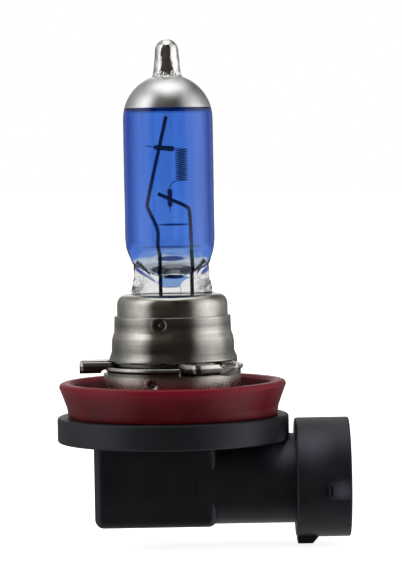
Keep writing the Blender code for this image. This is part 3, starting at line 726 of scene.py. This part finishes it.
def tinned_brass():
    """Stamped blades with a dull tin plate."""
    finish = Finish("tinned_brass", Metallic=1.0)
    lines = finish.noise(0.5, detail=4.0, place=finish.stretched(0.15, 1.0, 1.0))
    colour = finish.vary(lines, (0.52, 0.50, 0.45), (0.70, 0.685, 0.64))
    finish.set(Base_Color=colour, Roughness=finish.vary(lines, 0.22, 0.38))
    finish.bump(lines, 0.01)
    return finish.material


def glass_fibre():
    """A braided fibre sleeve."""
    finish = Finish("glass_fibre", Roughness=0.8)
    braid = finish.add("ShaderNodeTexVoronoi", {"Vector": finish.place, "Scale": 1 / (0.25 * MM)})
    dip = braid.outputs["Distance"]
    finish.set(Base_Color=finish.ramp(dip, [(0.0, (0.82, 0.79, 0.70)), (0.8, (0.58, 0.55, 0.47))]))
    finish.bump(dip, 0.05)
    return finish.material


# Glass and its coat

ROUND_Z = 17.5  # the glass is round above this
PRESS_HALF_THICKNESS = 1.6
PRESS = [  # height, half width of the flat press
    (3.5, 5.35), (10.6, 5.35), (11.5, 5.13), (12.3, 4.97), (13.1, 5.0), (13.9, 5.0), (14.7, 4.9),
    (16.0, 4.8),
]
TUBE_FOOT = [  # height, half width and half thickness of the tube's rounded lower end
    (12.1, 2.2, 1.4), (12.6, 3.4, 2.0), (13.1, 4.35, 2.55), (13.9, 5.10, 3.25), (14.7, 5.42, 4.05),
    (16.0, 5.85, 5.3), (17.3, 6.0, 6.0),
]
CAVITY_FOOT = [  # height, half width and half thickness of the gas space
    (12.9, 1.9, 0.35), (13.4, 3.0, 0.95), (14.2, 3.95, 1.85), (15.1, 4.6, 3.0), (16.1, 4.85, 4.2),
    (17.4, 5.0, 5.0),
]
TIP_SIDE = [  # depth below the top, radius
    (0.45, 1.08), (0.85, 1.38), (1.25, 1.53), (1.7, 1.59), (2.4, 1.61), (3.2, 1.72), (4.0, 1.78),
    (4.45, 1.80),
]


def outer_reach(angle, height):
    """How far the outside of the glass is from its axis."""
    if height >= ROUND_Z:
        return math.sqrt(GLASS_R**2 - max(0.0, height - DOME_CENTRE_Z) ** 2)
    reach = 0.0
    if height < PRESS[-1][0]:
        (half_width,) = smooth_value(PRESS, height)
        reach = oval_reach(half_width, PRESS_HALF_THICKNESS, 8.0, angle)
    if height > TUBE_FOOT[0][0]:
        half_x, half_y = smooth_value(TUBE_FOOT, height)
        squareness = 2.0 + 0.15 * smooth_step(17.0, 14.5, height)
        reach = max(reach, oval_reach(half_x, half_y, squareness, angle))
    return reach


def press_crinkle(angle, height):
    """The uneven edge that the press leaves along both narrow sides."""
    on_side = smooth_step(0.86, 0.98, abs(math.cos(angle)))
    band = smooth_step(9.0, 10.0, height) * smooth_step(14.6, 13.2, height)
    place = Vector((math.cos(angle) * 5, math.sin(angle) * 9, height * 1.6))
    return 0.16 * on_side * band * noise.noise(place)


def envelope_heights():
    """Heights of the rows of vertices up the bare outside of the glass."""
    heights = []
    height = GLASS_LOW.z
    while height < ROUND_Z:
        heights.append(height)
        height += 0.5 if height < 9.5 else 0.14  # far apart only where the cup hides them
    heights += [ROUND_Z + (DOME_CENTRE_Z - ROUND_Z) * step / 12 for step in range(12)]
    return [*heights, DOME_CENTRE_Z, DOME_CENTRE_Z + 0.8, COAT_LOW.z - FIT_GAP]


def dome_point(radius, angle):
    """The radius and height of a point on a dome, at an angle above its foot."""
    return radius * math.cos(angle), DOME_CENTRE_Z + radius * math.sin(angle)


def tip_side(inset):
    """Radius and height pairs down the side of the tip, inside the coat's outside by the inset."""
    return [(radius - inset, COAT_HIGH.z - depth - inset) for depth, radius in TIP_SIDE]


def add_glass(outside, inside):
    """The envelope: its bare outside, the part under the coat and, facing inwards, the gas space."""
    bm = bmesh.new()
    rows = []
    for height in envelope_heights():
        shift = HOLDER_X * min(1.0, max(0.0, (16.0 - height) / 3.0))  # the pinch is on the cup's axis
        radii = [outer_reach(angle, height) + press_crinkle(angle, height) for angle in around(SIDES)]
        rows.append(round_row(bm, radii, height, shift))
    under_coat = [dome_point(GLASS_R - COAT_INSET, math.radians(degrees)) for degrees in range(15, 73, 6)]
    for radius, height in [*under_coat, *reversed(tip_side(COAT_INSET))]:
        rows.append(round_row(bm, [radius] * SIDES, height))
    top = bm.verts.new((0, 0, rows[-1][0].co.z + 0.2))
    bottom = bm.verts.new((HOLDER_X, 0, GLASS_LOW.z))
    skin(bm, [[bottom], *rows, [top]])
    bmesh.ops.recalc_face_normals(bm, faces=bm.faces)
    add_gas_space(bm)
    piece = plain_object("glass_body", bm, crease=24)
    for material in (outside, inside):
        piece.data.materials.append(material)
    hand_over(piece, ["glass_envelope"])


def add_gas_space(bm):
    """The inside surface of the glass, facing into the gas."""
    inner = GLASS_R - GLASS_WALL
    foot_z, straight_z = CAVITY_FOOT[0][0], 19.7
    heights = [foot_z + 0.1 * i for i in range(64)]
    heights += [straight_z + (DOME_CENTRE_Z - straight_z) * i / 8 for i in range(9)]
    outlines = [(*smooth_value(CAVITY_FOOT, height), height) for height in heights]
    for degrees in range(8, 89, 8):
        radius, height = dome_point(inner, math.radians(degrees))
        outlines.append((radius, radius, height))
    rows = [round_row(bm, oval_radii(half_x, half_y), height) for half_x, half_y, height in outlines]
    foot = bm.verts.new((0, 0, foot_z - 0.1))
    top = bm.verts.new((0, 0, DOME_CENTRE_Z + inner))
    first = len(bm.faces)
    skin(bm, [[foot], *rows, [top]])
    bm.faces.ensure_lookup_table()
    inside = bm.faces[first:]
    bmesh.ops.recalc_face_normals(bm, faces=inside)
    bmesh.ops.reverse_faces(bm, faces=inside)
    for face in inside:
        face.material_index = 1


def coat_shape(angle, radius, height):
    """The hand-drawn tip: gentle waves up its side and a crinkled ring where it meets the dome."""
    below_top = COAT_HIGH.z - height
    place = Vector((math.cos(angle) * 2.2, math.sin(angle) * 2.2, height * 1.1))
    wave = 0.05 * noise.noise(place) * smooth_step(0.2, 1.2, below_top) * smooth_step(5.2, 4.6, below_top)
    ring = smooth_step(4.25, 4.5, below_top) * smooth_step(5.15, 4.85, below_top)
    fine = Vector((math.cos(angle) * 13, math.sin(angle) * 13, height * 8))
    crinkle = 0.13 * ring * noise.noise(fine)
    return radius + wave + crinkle, height + 0.8 * crinkle


def add_coat(material):
    """The mirror coat, a thin shell over the tip and dome."""
    top = [(0.0, COAT_HIGH.z), (0.38, COAT_HIGH.z - 0.05), (0.75, COAT_HIGH.z - 0.2)]
    neck = [(1.83, COAT_HIGH.z - 4.7), (1.90, COAT_HIGH.z - 4.95)]
    start, end = math.acos(2.05 / GLASS_R), math.asin((COAT_LOW.z - DOME_CENTRE_Z) / GLASS_R)
    angles = [start + (end - start) * i / 24 for i in range(25)]
    outside = [*top, *tip_side(0.0), *neck, *(dome_point(GLASS_R, angle) for angle in angles)]
    inside = [(0.0, COAT_HIGH.z - COAT_THICKNESS), *tip_side(COAT_THICKNESS)]
    inside += [dome_point(GLASS_R - COAT_THICKNESS, angle) for angle in angles]
    bm = turned([*divided(outside, 0.12), *reversed(inside)], shape=coat_shape)
    finish_piece("silver_coat", bm, material, ["silver_top_coat"], crease=60)


def add_leg_sleeves(material):
    """The two crimped sleeves on the filament's legs, with drawn-in ends."""
    radius, bore = 0.34, 0.13
    for name in ("upper_leg_sleeve", "lower_leg_sleeve"):
        low, high = node_box(name)
        x, y, _ = (low + high) / 2
        start, end = Vector((x, y, low.z)), Vector((x, y, high.z))
        if name.startswith("upper"):
            start = Vector((low.x + 0.03, y, high.z - radius))
            end = Vector((high.x - 0.03, y, low.z + radius))
        length = (end - start).length
        profile = [(bore, 0), (radius * 0.6, 0, 0.05), (radius, 0.35, 0.2), (radius, length * 0.45, 0.3)]
        profile += [(radius * 0.9, length * 0.5, 0.2), (radius, length * 0.55, 0.3)]
        profile += [(radius, length, 0.08), (bore, length)]
        bm = turned(rounded(profile), 32, closed=True)
        matrix = (end - start).to_track_quat("Z", "Y").to_matrix()
        bmesh.ops.rotate(bm, cent=(0, 0, 0), matrix=matrix, verts=bm.verts)
        bmesh.ops.translate(bm, vec=start, verts=bm.verts)
        finish_piece(f"crimped_{name}", bm, material, [name])


def swept(route, radius):
    """A round wire of eight sides along a list of points, with flat ends."""
    bm = bmesh.new()
    points = [Vector(point) for point in route]
    across = Vector((0, 1, 0))
    rows = []
    for i, point in enumerate(points):
        along = (points[min(i + 1, len(points) - 1)] - points[max(i - 1, 0)]).normalized()
        across = (across - along * across.dot(along)).normalized()
        other = along.cross(across)
        offsets = [across * math.cos(angle) + other * math.sin(angle) for angle in around(8)]
        rows.append([bm.verts.new(point + offset * radius) for offset in offsets])
    capped_skin(bm, rows)
    bmesh.ops.recalc_face_normals(bm, faces=bm.faces)
    return bm


COIL_X, COIL_R, COIL_TURNS = 1.72, 0.78, 14.5
COIL_TOP_Z, COIL_BOTTOM_Z = 29.22, 25.05
COIL_WIRE_R = 0.062


def add_filament(material):
    """The tungsten wire, wound as finely as the real one."""
    route = [(-3.0, -0.8, 29.70), (-2.5, -0.8, 29.63), (-2.0, -0.8, 29.51), (0.9, -0.8, 29.26)]
    steps = round(COIL_TURNS * 20)
    for i in range(steps + 1):
        angle = -math.pi / 2 + 2 * math.pi * COIL_TURNS * i / steps
        height = COIL_TOP_Z + (COIL_BOTTOM_Z - COIL_TOP_Z) * i / steps
        route.append((COIL_X + COIL_R * math.cos(angle), COIL_R * math.sin(angle), height))
    for degrees in range(10, 91, 10):
        angle = math.radians(degrees)
        route.append((1.1 - math.sin(angle), 0.8, 24.0 + 0.95 * math.cos(angle)))
    route.append((0.1, 0.8, 20.9))
    bm = swept(route, COIL_WIRE_R)
    finish_piece("coiled_filament", bm, material, ["filament"])


# Metal cap


def add_cup(material):
    """The deep-drawn cup with its slotted top."""
    top, bottom = CUP_HIGH.z, CUP_LOW.z
    profile = [(0.0, top), (3.0, top), (CUP_R, top, 1.6), (CUP_R, bottom, 0.08)]
    profile += [(CUP_R - SHEET, bottom, 0.08), (CUP_R - SHEET, top - SHEET, 1.25)]
    profile += [(3.0, top - SHEET), (0.0, top - SHEET)]
    bm = turned(rounded(profile, 8), centre=(HOLDER_X, 0, 0))
    cup = finish_piece("drawn_cup", bm, material, ["burner_cup"])
    slot = bmesh.new()
    radii = oval_radii(PRESS[0][1] + 0.16, PRESS_HALF_THICKNESS + 0.16, 8.0, 96)
    capped_skin(slot, [round_row(slot, radii, height, HOLDER_X) for height in (top - 1.0, top + 1.0)])
    carve(cup, slot)


def dent(points, radius, depth, wall_r):
    """A shape function that presses round weld marks into a wall, each with a small raised rim.

    Points nearer the axis than wall_r, which are on the wall's inside, stay where they are.
    """

    def shape(angle, r, height):
        if r <= wall_r:
            return r, height
        place = Vector((r * math.cos(angle), r * math.sin(angle), height))
        for point in points:
            away = (place - Vector(point)).length / radius
            if away < 1.6:
                pit = smooth_step(0.95, 0.45, away) - 0.45 * smooth_step(0.42, 0.1, away)
                rim = smooth_step(0.8, 1.05, away) * smooth_step(1.5, 1.1, away)
                r -= depth * (pit - 0.12 * rim)
        return r, height

    return shape


def add_sleeve(material, marks):
    """The stepped sleeve welded to the cup."""
    top, foot = SLEEVE_HIGH.z, SLEEVE_LOW.z
    upper_r, lower_r = SLEEVE_UPPER_R, SLEEVE_LOWER_R
    side = [(upper_r - 0.07, top, 0.1), (upper_r, top - 2.1, 0.5), (lower_r - 0.1, top - 2.85, 0.6)]
    side += [(lower_r, top - 3.45, 0.5), (lower_r + 0.03, foot + 1.15, 0.8)]
    side += [(SLEEVE_FOOT_R - 0.04, foot + 0.22, 0.3), (SLEEVE_FOOT_R, foot, 0.06)]
    inside = [(radius - SHEET, height, 0.2) for radius, height, _ in reversed(side)]
    fine = divided(rounded([*side, *inside], 6, closed=True), 0.16, closed=True)
    local_marks = [(x - HOLDER_X, y, z) for x, y, z in marks]
    shape = dent(local_marks, 1.0, 0.16, upper_r - 0.12)
    bm = turned(fine, 360, closed=True, shape=shape, centre=(HOLDER_X, 0, 0))
    finish_piece("stepped_sleeve", bm, material, ["adjusting_sleeve"])


def add_collar(material, marks):
    """The 19 mm collar, with a turned-out rim that rises round the ring and is notched for its tabs."""
    rim_r, wall_r, inner_r = COLLAR_RIM_R, COLLAR_WALL_R, COLLAR_WALL_R - 0.45
    top, bottom, floor_r = COLLAR_TOP_Z, COLLAR_LOW.z, 7.5
    profile = [(inner_r, top, 0.1), (rim_r, top, 0.16), (rim_r, top - 0.5, 0.16)]
    profile += [(wall_r, top - 0.63, 0.2), (wall_r, bottom, 0.4), (floor_r, bottom)]
    profile += [(floor_r, bottom + 0.45), (inner_r, bottom + 0.45, 0.2)]
    fine = divided(rounded(profile, 6, closed=True), 0.22, closed=True)
    bm = turned(fine, 300, closed=True, shape=dent(marks, 0.72, 0.2, wall_r - 0.1))
    collar = finish_piece("lamp_collar", bm, material, ["cap_collar"])
    half_notch = TAB_HALF_WIDTH + 0.25
    for degrees in TAB_ANGLES:
        notch = block((RING_R, -half_notch, -BEAD_DEPTH - 0.1), (rim_r + 1.0, half_notch, top + 1.0))
        spin_mesh(notch, "Z", degrees)
        carve(collar, notch)
    smooth_by_angle(collar.data, 32)


def tab_mesh(inner_r, outer_r):
    """One tab: a plate with a rounded bead pressed down beside its middle and rounded edges."""
    top, bottom = [(-TAB_HALF_WIDTH, TAB_THICKNESS)], [(-TAB_HALF_WIDTH, 0.0)]
    for i in range(13):
        angle = math.pi * i / 12
        across = BEAD_CENTRE - BEAD_R * math.cos(angle)
        sag = BEAD_DEPTH * math.sin(angle)
        top.append((across, TAB_THICKNESS - sag * 1.25))
        bottom.append((across, -sag))
    top.append((TAB_HALF_WIDTH, TAB_THICKNESS))
    bottom.append((TAB_HALF_WIDTH, 0.0))
    outline = [(inner_r, across, height) for across, height in [*bottom, *reversed(top)]]
    bm = prism(outline, (outer_r - inner_r, 0, 0))
    corners = []
    for edge in bm.edges:
        a, b = (vert.co for vert in edge.verts)
        upright = abs(a.x - outer_r) < 1e-4 and abs(b.x - outer_r) < 1e-4 and abs(a.z - b.z) > 0.9
        if upright and abs(abs(a.y) - TAB_HALF_WIDTH) < 1e-4:
            corners.append(edge)
    round_edges(bm, corners, 0.9, 5)
    return bm


def add_ring(material):
    """The flat ring and its three tabs, with all sheared edges slightly broken."""
    foot, top, bore_r = RING_FOOT_Z, RING_TOP_Z, RING_BORE_R
    profile = [(bore_r, foot), (RING_R, foot), (RING_R, top), (bore_r, top)]
    ring = plain_object("locking_ring", turned(profile, 96, closed=True))
    relief_r = COLLAR_RIM_R + 0.2
    for degrees in TAB_ANGLES:
        bm = tab_mesh(RING_R - 0.5, TAB_REACH)
        spin_mesh(bm, "Z", degrees)
        tab = plain_object("tab", bm)
        carve(tab, turned([(0, -2), (relief_r, -2), (relief_r, foot), (0, foot)], 96))
        combine(ring, tab, "UNION")
    bevel = ring.modifiers.new("broken_edges", "BEVEL")
    bevel.width = 0.22 * MM
    bevel.segments = 4
    bevel.limit_method = "ANGLE"
    bevel.angle_limit = math.radians(50)
    bevel.harden_normals = True
    settle(ring)
    smooth_by_angle(ring.data, 32)
    set_material(ring, material)
    hand_over(ring, ["bayonet_ring"])


# Plastic base and seal


def add_seal(material):
    """The silicone ring, with a flared lip and a trough behind it."""
    foot, lip_top = SEAL_LOW.z, SEAL_HIGH.z
    lip_r, inner_r = SEAL_HIGH.x, 11.55
    profile = [(inner_r, foot), (lip_r - 1.2, foot, 0.12), (lip_r - 1.02, foot + 1.2, 1.1)]
    profile += [(lip_r - 0.62, foot + 2.3, 1.0), (lip_r - 0.2, lip_top - 1.1, 0.8)]
    profile += [(lip_r, lip_top - 0.62, 0.25), (lip_r - 0.12, lip_top - 0.2, 0.2)]
    profile += [(lip_r - 0.55, lip_top, 0.3), (lip_r - 1.3, lip_top - 0.02, 0.3)]
    profile += [(lip_r - 1.9, lip_top - 0.45, 0.4), (lip_r - 2.3, foot + 1.9, 1.0)]
    profile += [(lip_r - 2.7, foot + 1.4, 0.4), (inner_r, foot + 1.4, 0.15)]

    def slack(angle, radius, height):
        lift = 0.05 * noise.noise(Vector((math.cos(angle) * 1.4, math.sin(angle) * 1.4, 4.0)))
        lip = smooth_step(foot + 1.5, lip_top, height)
        return radius + 0.6 * lift * lip, height + lift * lip

    bm = turned(divided(rounded(profile, 6, closed=True), 0.35, closed=True), SIDES, True, slack)
    finish_piece("lip_seal", bm, material, ["sealing_ring"])


def oval_bar(half_y, half_z, start_x, end_x, below=2.0):
    """An oval bar along the connector's axis; below is the squareness of its lower half."""
    bm = bmesh.new()
    rows = []
    for x in (start_x, end_x):
        row = []
        for angle in around(128):
            r = oval_reach(half_y, half_z, 2.0 if math.sin(angle) > 0 else below, angle)
            row.append(bm.verts.new((x, r * math.cos(angle), CONNECTOR_Z + r * math.sin(angle))))
        rows.append(row)
    capped_skin(bm, rows)
    return bm


def blade_block(y, start_x, end_x, half_y, half_z, rounding=0.0):
    """A box along one of the blades."""
    low = (start_x, y - half_y, CONNECTOR_Z - half_z)
    return block(low, (end_x, y + half_y, CONNECTOR_Z + half_z), rounding, 3)


def connector_turned(profile):
    """Turn a (radius, x) profile about the connector's axis."""
    bm = turned(profile)
    spin_mesh(bm, "Y", 90)
    bmesh.ops.translate(bm, vec=(0, 0, CONNECTOR_Z), verts=bm.verts)
    return bm


def flange_mesh():
    """The flange with the boss on top that the seal sits round and the collar stands in."""
    radius, top = BASE_HIGH.y, SEAL_LOW.z - FIT_GAP
    bottom, hole_r = top - 3.35, 4.5
    boss_r, boss_top = 11.4, -3.4
    socket_r, socket_floor = COLLAR_HIGH.x - 0.15, COLLAR_LOW.z - 0.2
    profile = [(hole_r, socket_floor), (socket_r, socket_floor), (socket_r, boss_top, 0.15)]
    profile += [(boss_r, boss_top, 0.25), (boss_r, top), (radius, top, 0.4)]
    profile += [(radius, bottom, 0.4), (hole_r, bottom)]
    return turned(rounded(profile, 6, closed=True), closed=True)


def barrel_mesh():
    start_x, end_x = BARREL_START_X, BASE_HIGH.x
    profile = [(0.0, start_x), (BARREL_R, start_x, 0.45), (BARREL_R, end_x, 0.3), (0.0, end_x)]
    return connector_turned(rounded(profile, 6))


def mouth_mesh():
    """The round space inside the shroud, with a chamfer at its edge."""
    start_x, end_x, wide_r = BARREL_START_X + 1.2, BASE_HIGH.x, BARREL_BORE_R + 0.4
    profile = [(0.0, start_x), (BARREL_BORE_R, start_x, 0.3), (BARREL_BORE_R, end_x - 0.45)]
    profile += [(wide_r, end_x + 0.05), (wide_r, end_x + 1), (0.0, end_x + 1)]
    return connector_turned(rounded(profile, 5))


def side_rib(side):
    """The raised pad on the shroud's side, leaning back a little, with a slot near its end."""
    low, high = -17.05, -14.8
    bm = block((20.3, BARREL_R - 1.0, low), (BASE_HIGH.x - 0.12, BARREL_R + 0.75, high), 0.1, 2)
    for vert in bm.verts:
        if vert.co.y > BARREL_R:
            vert.co.y -= 0.7 * (vert.co.z - low) / (high - low)
        vert.co.y *= side
    bmesh.ops.recalc_face_normals(bm, faces=bm.faces)
    return bm


def rib_slot(side):
    """The narrow slot in that pad."""
    near, far = sorted((side * (BARREL_R + 0.05), side * (BARREL_R + 1.0)))
    return block((20.62, near, -16.6), (20.9, far, -15.3))


def lock_nose():
    """The catch under the shroud that the plug snaps over."""
    half_width = 2.2
    low, high = CONNECTOR_Z - BARREL_R - 0.7, CONNECTOR_Z - BARREL_R + 0.8
    outline = [(16.4, high), (16.4, low), (18.4, low), (19.2, high - 0.6), (19.2, high)]
    bm = prism([(x, -half_width, z) for x, z in outline], (0, 2 * half_width, 0))
    round_edges(bm, bm.edges, 0.12, 3)
    return bm


def add_housing(material):
    """Flange, body, neck and connector shroud, moulded as one piece."""
    housing = plain_object("moulded_base", flange_mesh())
    body = block(BODY_LOW, BODY_HIGH, 1.2, 7)
    neck = oval_bar(NECK_HALF_Y, NECK_HALF_Z, 3.0, BARREL_START_X + 0.6, 2.7)
    for addition in (body, neck, barrel_mesh(), lock_nose(), side_rib(-1), side_rib(1)):
        carve(housing, addition, "UNION")
    carve(housing, oval_bar(5.5, 4.6, 8.5, BARREL_START_X + 1.5))
    carve(housing, mouth_mesh())
    for y in BLADE_Y.values():
        carve(housing, blade_block(y, 5.0, 10.2, 2.1, 1.3, 0.2), "UNION")
    for side in (-1, 1):
        carve(housing, rib_slot(side))
    for y in BLADE_Y.values():
        carve(housing, blade_block(y, 1.8, 11.0, 1.48, 0.48))
    recess_low = (BODY_LOW[0] + LID_LEDGE, BODY_LOW[1] + LID_LEDGE, BODY_LOW[2] - 1.0)
    recess_high = (BODY_HIGH[0] - LID_LEDGE, BODY_HIGH[1] - LID_LEDGE, BODY_LOW[2] + 1.25)
    carve(housing, block(recess_low, recess_high))
    carve(housing, block(HOLLOW_LOW, HOLLOW_HIGH))
    carve(housing, turned([(0, -12.5), (LEAD_HOLE_R, -12.5), (LEAD_HOLE_R, -5.0), (0, -5.0)], 64))
    smooth_by_angle(housing.data, 28)
    weighted = housing.modifiers.new("flat_faces_stay_flat", "WEIGHTED_NORMAL")
    weighted.keep_sharp = True
    weighted.weight = 80
    set_material(housing, material)
    hand_over(housing, ["base_housing"])


def add_blades(material):
    """The two flat blades, with chamfered tips and broken edges."""
    half_strip, half_blade, half_width = 0.3, 0.4, 1.4
    for side, y in BLADE_Y.items():
        low, high = node_box(f"terminal_{side}")
        tag_x, wide_x, tip_x = low.x, 9.0, high.x
        tag_height = high.z - CONNECTOR_Z
        side_view = [(tag_x, -half_strip), (wide_x, -half_strip), (wide_x, -half_blade)]
        side_view += [(tip_x - 0.6, -half_blade), (tip_x, -half_blade + 0.25), (tip_x, half_blade - 0.25)]
        side_view += [(tip_x - 0.6, half_blade), (wide_x, half_blade), (wide_x, half_strip)]
        side_view += [(tag_x + 0.6, half_strip), (tag_x + 0.6, tag_height), (tag_x, tag_height)]
        outline = [(x, y - half_width, CONNECTOR_Z + height) for x, height in side_view]
        bm = prism(outline, (0, 2 * half_width, 0))
        for vert in bm.verts:
            if vert.co.x > tip_x - 0.1:
                vert.co.y = y + (vert.co.y - y) * 0.7
        round_edges(bm, bm.edges, 0.07, 2)
        finish_piece(f"blade_{side}", bm, material, [f"terminal_{side}"])


# Carried-over CAD nodes


def refinish(names, material):
    """Give CAD nodes whose shape is right a better material."""
    for name in names:
        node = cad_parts[name]
        if node.data.materials:
            node.material_slots[0].material = material
        else:
            node.data.materials.append(material)


# Studio


def add_floor():
    """A pale floor that reflections pass through and that looks white through the glass."""
    half = 6.0
    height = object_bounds()[0].z - 0.0004
    bm = bmesh.new()
    corners = [(-half, -half), (half, -half), (half, half), (-half, half)]
    bm.faces.new([bm.verts.new((x, y, height)) for x, y in corners])
    mesh = bpy.data.meshes.new("floor")
    bm.to_mesh(mesh)
    bm.free()
    floor = link(bpy.data.objects.new("floor", mesh))
    finish = Finish("pale_floor", Roughness=0.9, Specular_IOR_Level=0.1, Emission_Color=(1.0, 1.0, 1.0))
    path = finish.add("ShaderNodeLightPath").outputs
    through = path["Is Transmission Ray"]
    glow = finish.product(path["Is Camera Ray"], 0.85)
    finish.set(Base_Color=finish.mix(through, (0.80, 0.80, 0.80), (0.0, 0.0, 0.0)))
    finish.set(Emission_Strength=finish.maths("MAXIMUM", glow, through))
    missing = finish.add("ShaderNodeBsdfTransparent").outputs[0]
    inputs = {0: path["Is Glossy Ray"], 1: finish.shader.outputs[0], 2: missing}
    surface = finish.add("ShaderNodeMixShader", inputs).outputs[0]
    finish.feed(finish.tree.nodes["Material Output"].inputs["Surface"], surface)
    mesh.materials.append(finish.material)


def add_softbox(name, place, size, strength):
    light = bpy.data.lights.new(name, "AREA")
    light.shape = "RECTANGLE"
    light.size, light.size_y = size
    light.energy = strength
    lamp = link(bpy.data.objects.new(name, light))
    lamp.location = place
    aim = Vector((0, 0, 0.005)) - Vector(place)
    lamp.rotation_euler = aim.to_track_quat("-Z", "Y").to_euler()
    lamp.visible_camera = False
    lamp.visible_transmission = False
    lamp.visible_glossy = False


SURROUND = [  # degrees round from behind the viewer, towards +X; how bright the studio is there
    (-180, 1.0), (-172, 0.85), (-163, 0.22), (-119, 0.27), (-98, 0.58), (-81, 0.98), (-63, 1.10),
    (-51, 0.52), (-43, 0.05), (38, 0.04), (45, 0.30), (52, 0.72), (65, 1.22), (81, 1.52),
    (98, 1.40), (112, 0.75), (123, 0.38), (163, 0.15), (172, 0.50), (180, 1.0),
]


def add_surroundings():
    """White for the viewer, and for reflections two bright sides, a dark gap and a bright ceiling."""
    world = bpy.data.worlds.new("studio")
    bpy.context.scene.world = world
    world.use_nodes = True
    sky = Nodes(world.node_tree)
    sky.tree.nodes.clear()
    place = sky.add("ShaderNodeTexCoord").outputs["Generated"]
    split = sky.add("ShaderNodeSeparateXYZ", {0: place})
    x, y, z = (split.outputs[name] for name in "XYZ")
    turn = sky.maths("ARCTAN2", x, sky.product(y, -1.0))
    stops = [(degrees / 360 + 0.5, level / 2) for degrees, level in SURROUND]
    level = sky.product(sky.ramp(sky.span(turn, -math.pi, math.pi), stops, smooth=False), 2.0)
    rise = sky.product(sky.ease(z, 0.05, 0.6, 1.0, 1.55), sky.ease(z, 0.65, 0.88, 1.0, 0.45))
    inputs = {0: sky.ease(x, -0.2, 0.2), 2: rise, 3: sky.ease(z, 0.1, 0.85, 1.0, 0.4)}
    level = sky.product(level, sky.add("ShaderNodeMix", inputs).outputs[0])
    lean = sky.maths("MULTIPLY_ADD", y, 0.3, z)
    lean = sky.maths("MULTIPLY_ADD", sky.maths("ABSOLUTE", x), -0.25, lean)
    ceiling = sky.product(sky.ease(lean, 0.60, 0.95, 0.0, 1.7), sky.ease(y, 0.05, 0.55, 1.0, 0.4))
    level = sky.maths("MAXIMUM", level, ceiling)
    tint = sky.mix(sky.ease(level, 0.05, 0.3), (1.0, 0.90, 0.76), (1.0, 1.0, 1.0))
    reflected = sky.add("ShaderNodeBackground", {"Color": tint, "Strength": level}).outputs[0]
    inputs = {"Color": (1.0, 1.0, 1.0), "Strength": sky.ease(z, 0.12, 0.45, 1.0, 0.35)}
    seen = sky.add("ShaderNodeBackground", inputs).outputs[0]
    path = sky.add("ShaderNodeLightPath").outputs
    direct = sky.maths("MAXIMUM", path["Is Camera Ray"], path["Is Transmission Ray"])
    choice = sky.add("ShaderNodeMixShader", {0: direct, 1: reflected, 2: seen}).outputs[0]
    sky.add("ShaderNodeOutputWorld", {"Surface": choice})


def add_studio():
    """A dark gap behind the viewer, two side softboxes and one above."""
    add_surroundings()
    add_softbox("left_softbox", (-0.62, -0.30, 0.16), (0.30, 0.55), 0.9)
    add_softbox("right_softbox", (0.62, -0.34, 0.18), (0.28, 0.55), 1.3)
    add_softbox("top_softbox", (0.0, -0.05, 0.60), (0.34, 0.26), 0.7)


CAMERA_PLACE = (0.00405, -0.3595, 0.02664)
CAMERA_TILT, CAMERA_ROLL = -2.47, -1.0  # degrees: down, and anticlockwise in the picture
LENS = 170.5


def add_camera():
    data = bpy.data.cameras.new("camera")
    data.lens = LENS
    data.sensor_width = 36.0
    data.clip_start, data.clip_end = 0.01, 50.0
    camera = link(bpy.data.objects.new("camera", data))
    look = Matrix.Rotation(math.radians(90 + CAMERA_TILT), 4, "X")
    roll = Matrix.Rotation(math.radians(CAMERA_ROLL), 4, "Z")
    camera.matrix_world = Matrix.Translation(CAMERA_PLACE) @ look @ roll
    bpy.context.scene.camera = camera


def build():
    sleeve_marks = weld_points(SLEEVE_UPPER_R, SLEEVE_WELD_Z, SLEEVE_WELD_ANGLE, HOLDER_X)
    collar_marks = weld_points(COLLAR_WALL_R, COLLAR_WELD_Z, COLLAR_WELD_ANGLE)
    plain_nickel = nickel("nickel_steel")
    molybdenum = dark_wire("molybdenum", (0.075, 0.10, 0.14), 0.5)
    plastic = black_plastic()

    add_glass(blue_glass(), clear_glass())
    add_coat(silver_coat())
    add_leg_sleeves(molybdenum)
    add_cup(nickel("nickel_cup", painted_shading=CUP_PAINTED_SHADING))
    add_sleeve(nickel("nickel_sleeve", sleeve_marks, 1.15, painted_shading=SLEEVE_PAINTED_SHADING), sleeve_marks)
    add_ring(nickel("nickel_ring", grain=0.12, recess_shade_r=RING_R + 0.5, painted_side_shade=True))
    add_collar(nickel("nickel_collar", collar_marks, 0.75, grain=0.12, painted_shading=COLLAR_PAINTED_SHADING), collar_marks)
    add_seal(red_silicone())
    add_housing(plastic)
    add_blades(tinned_brass())
    add_filament(dark_wire("tungsten", (0.08, 0.15, 0.21), 0.2))
    refinish(["long_support_wire", "short_support_wire", "outer_lead_a", "outer_lead_b"], molybdenum)
    refinish(["pinch_foil_a", "pinch_foil_b"], molybdenum)
    refinish(["lead_insulator"], glass_fibre())
    refinish(["pinch_clip"], plain_nickel)
    refinish(["base_cover"], plastic)
    add_floor()
    add_studio()
    add_camera()
    bpy.context.scene.view_settings.view_transform = "Standard"


build()
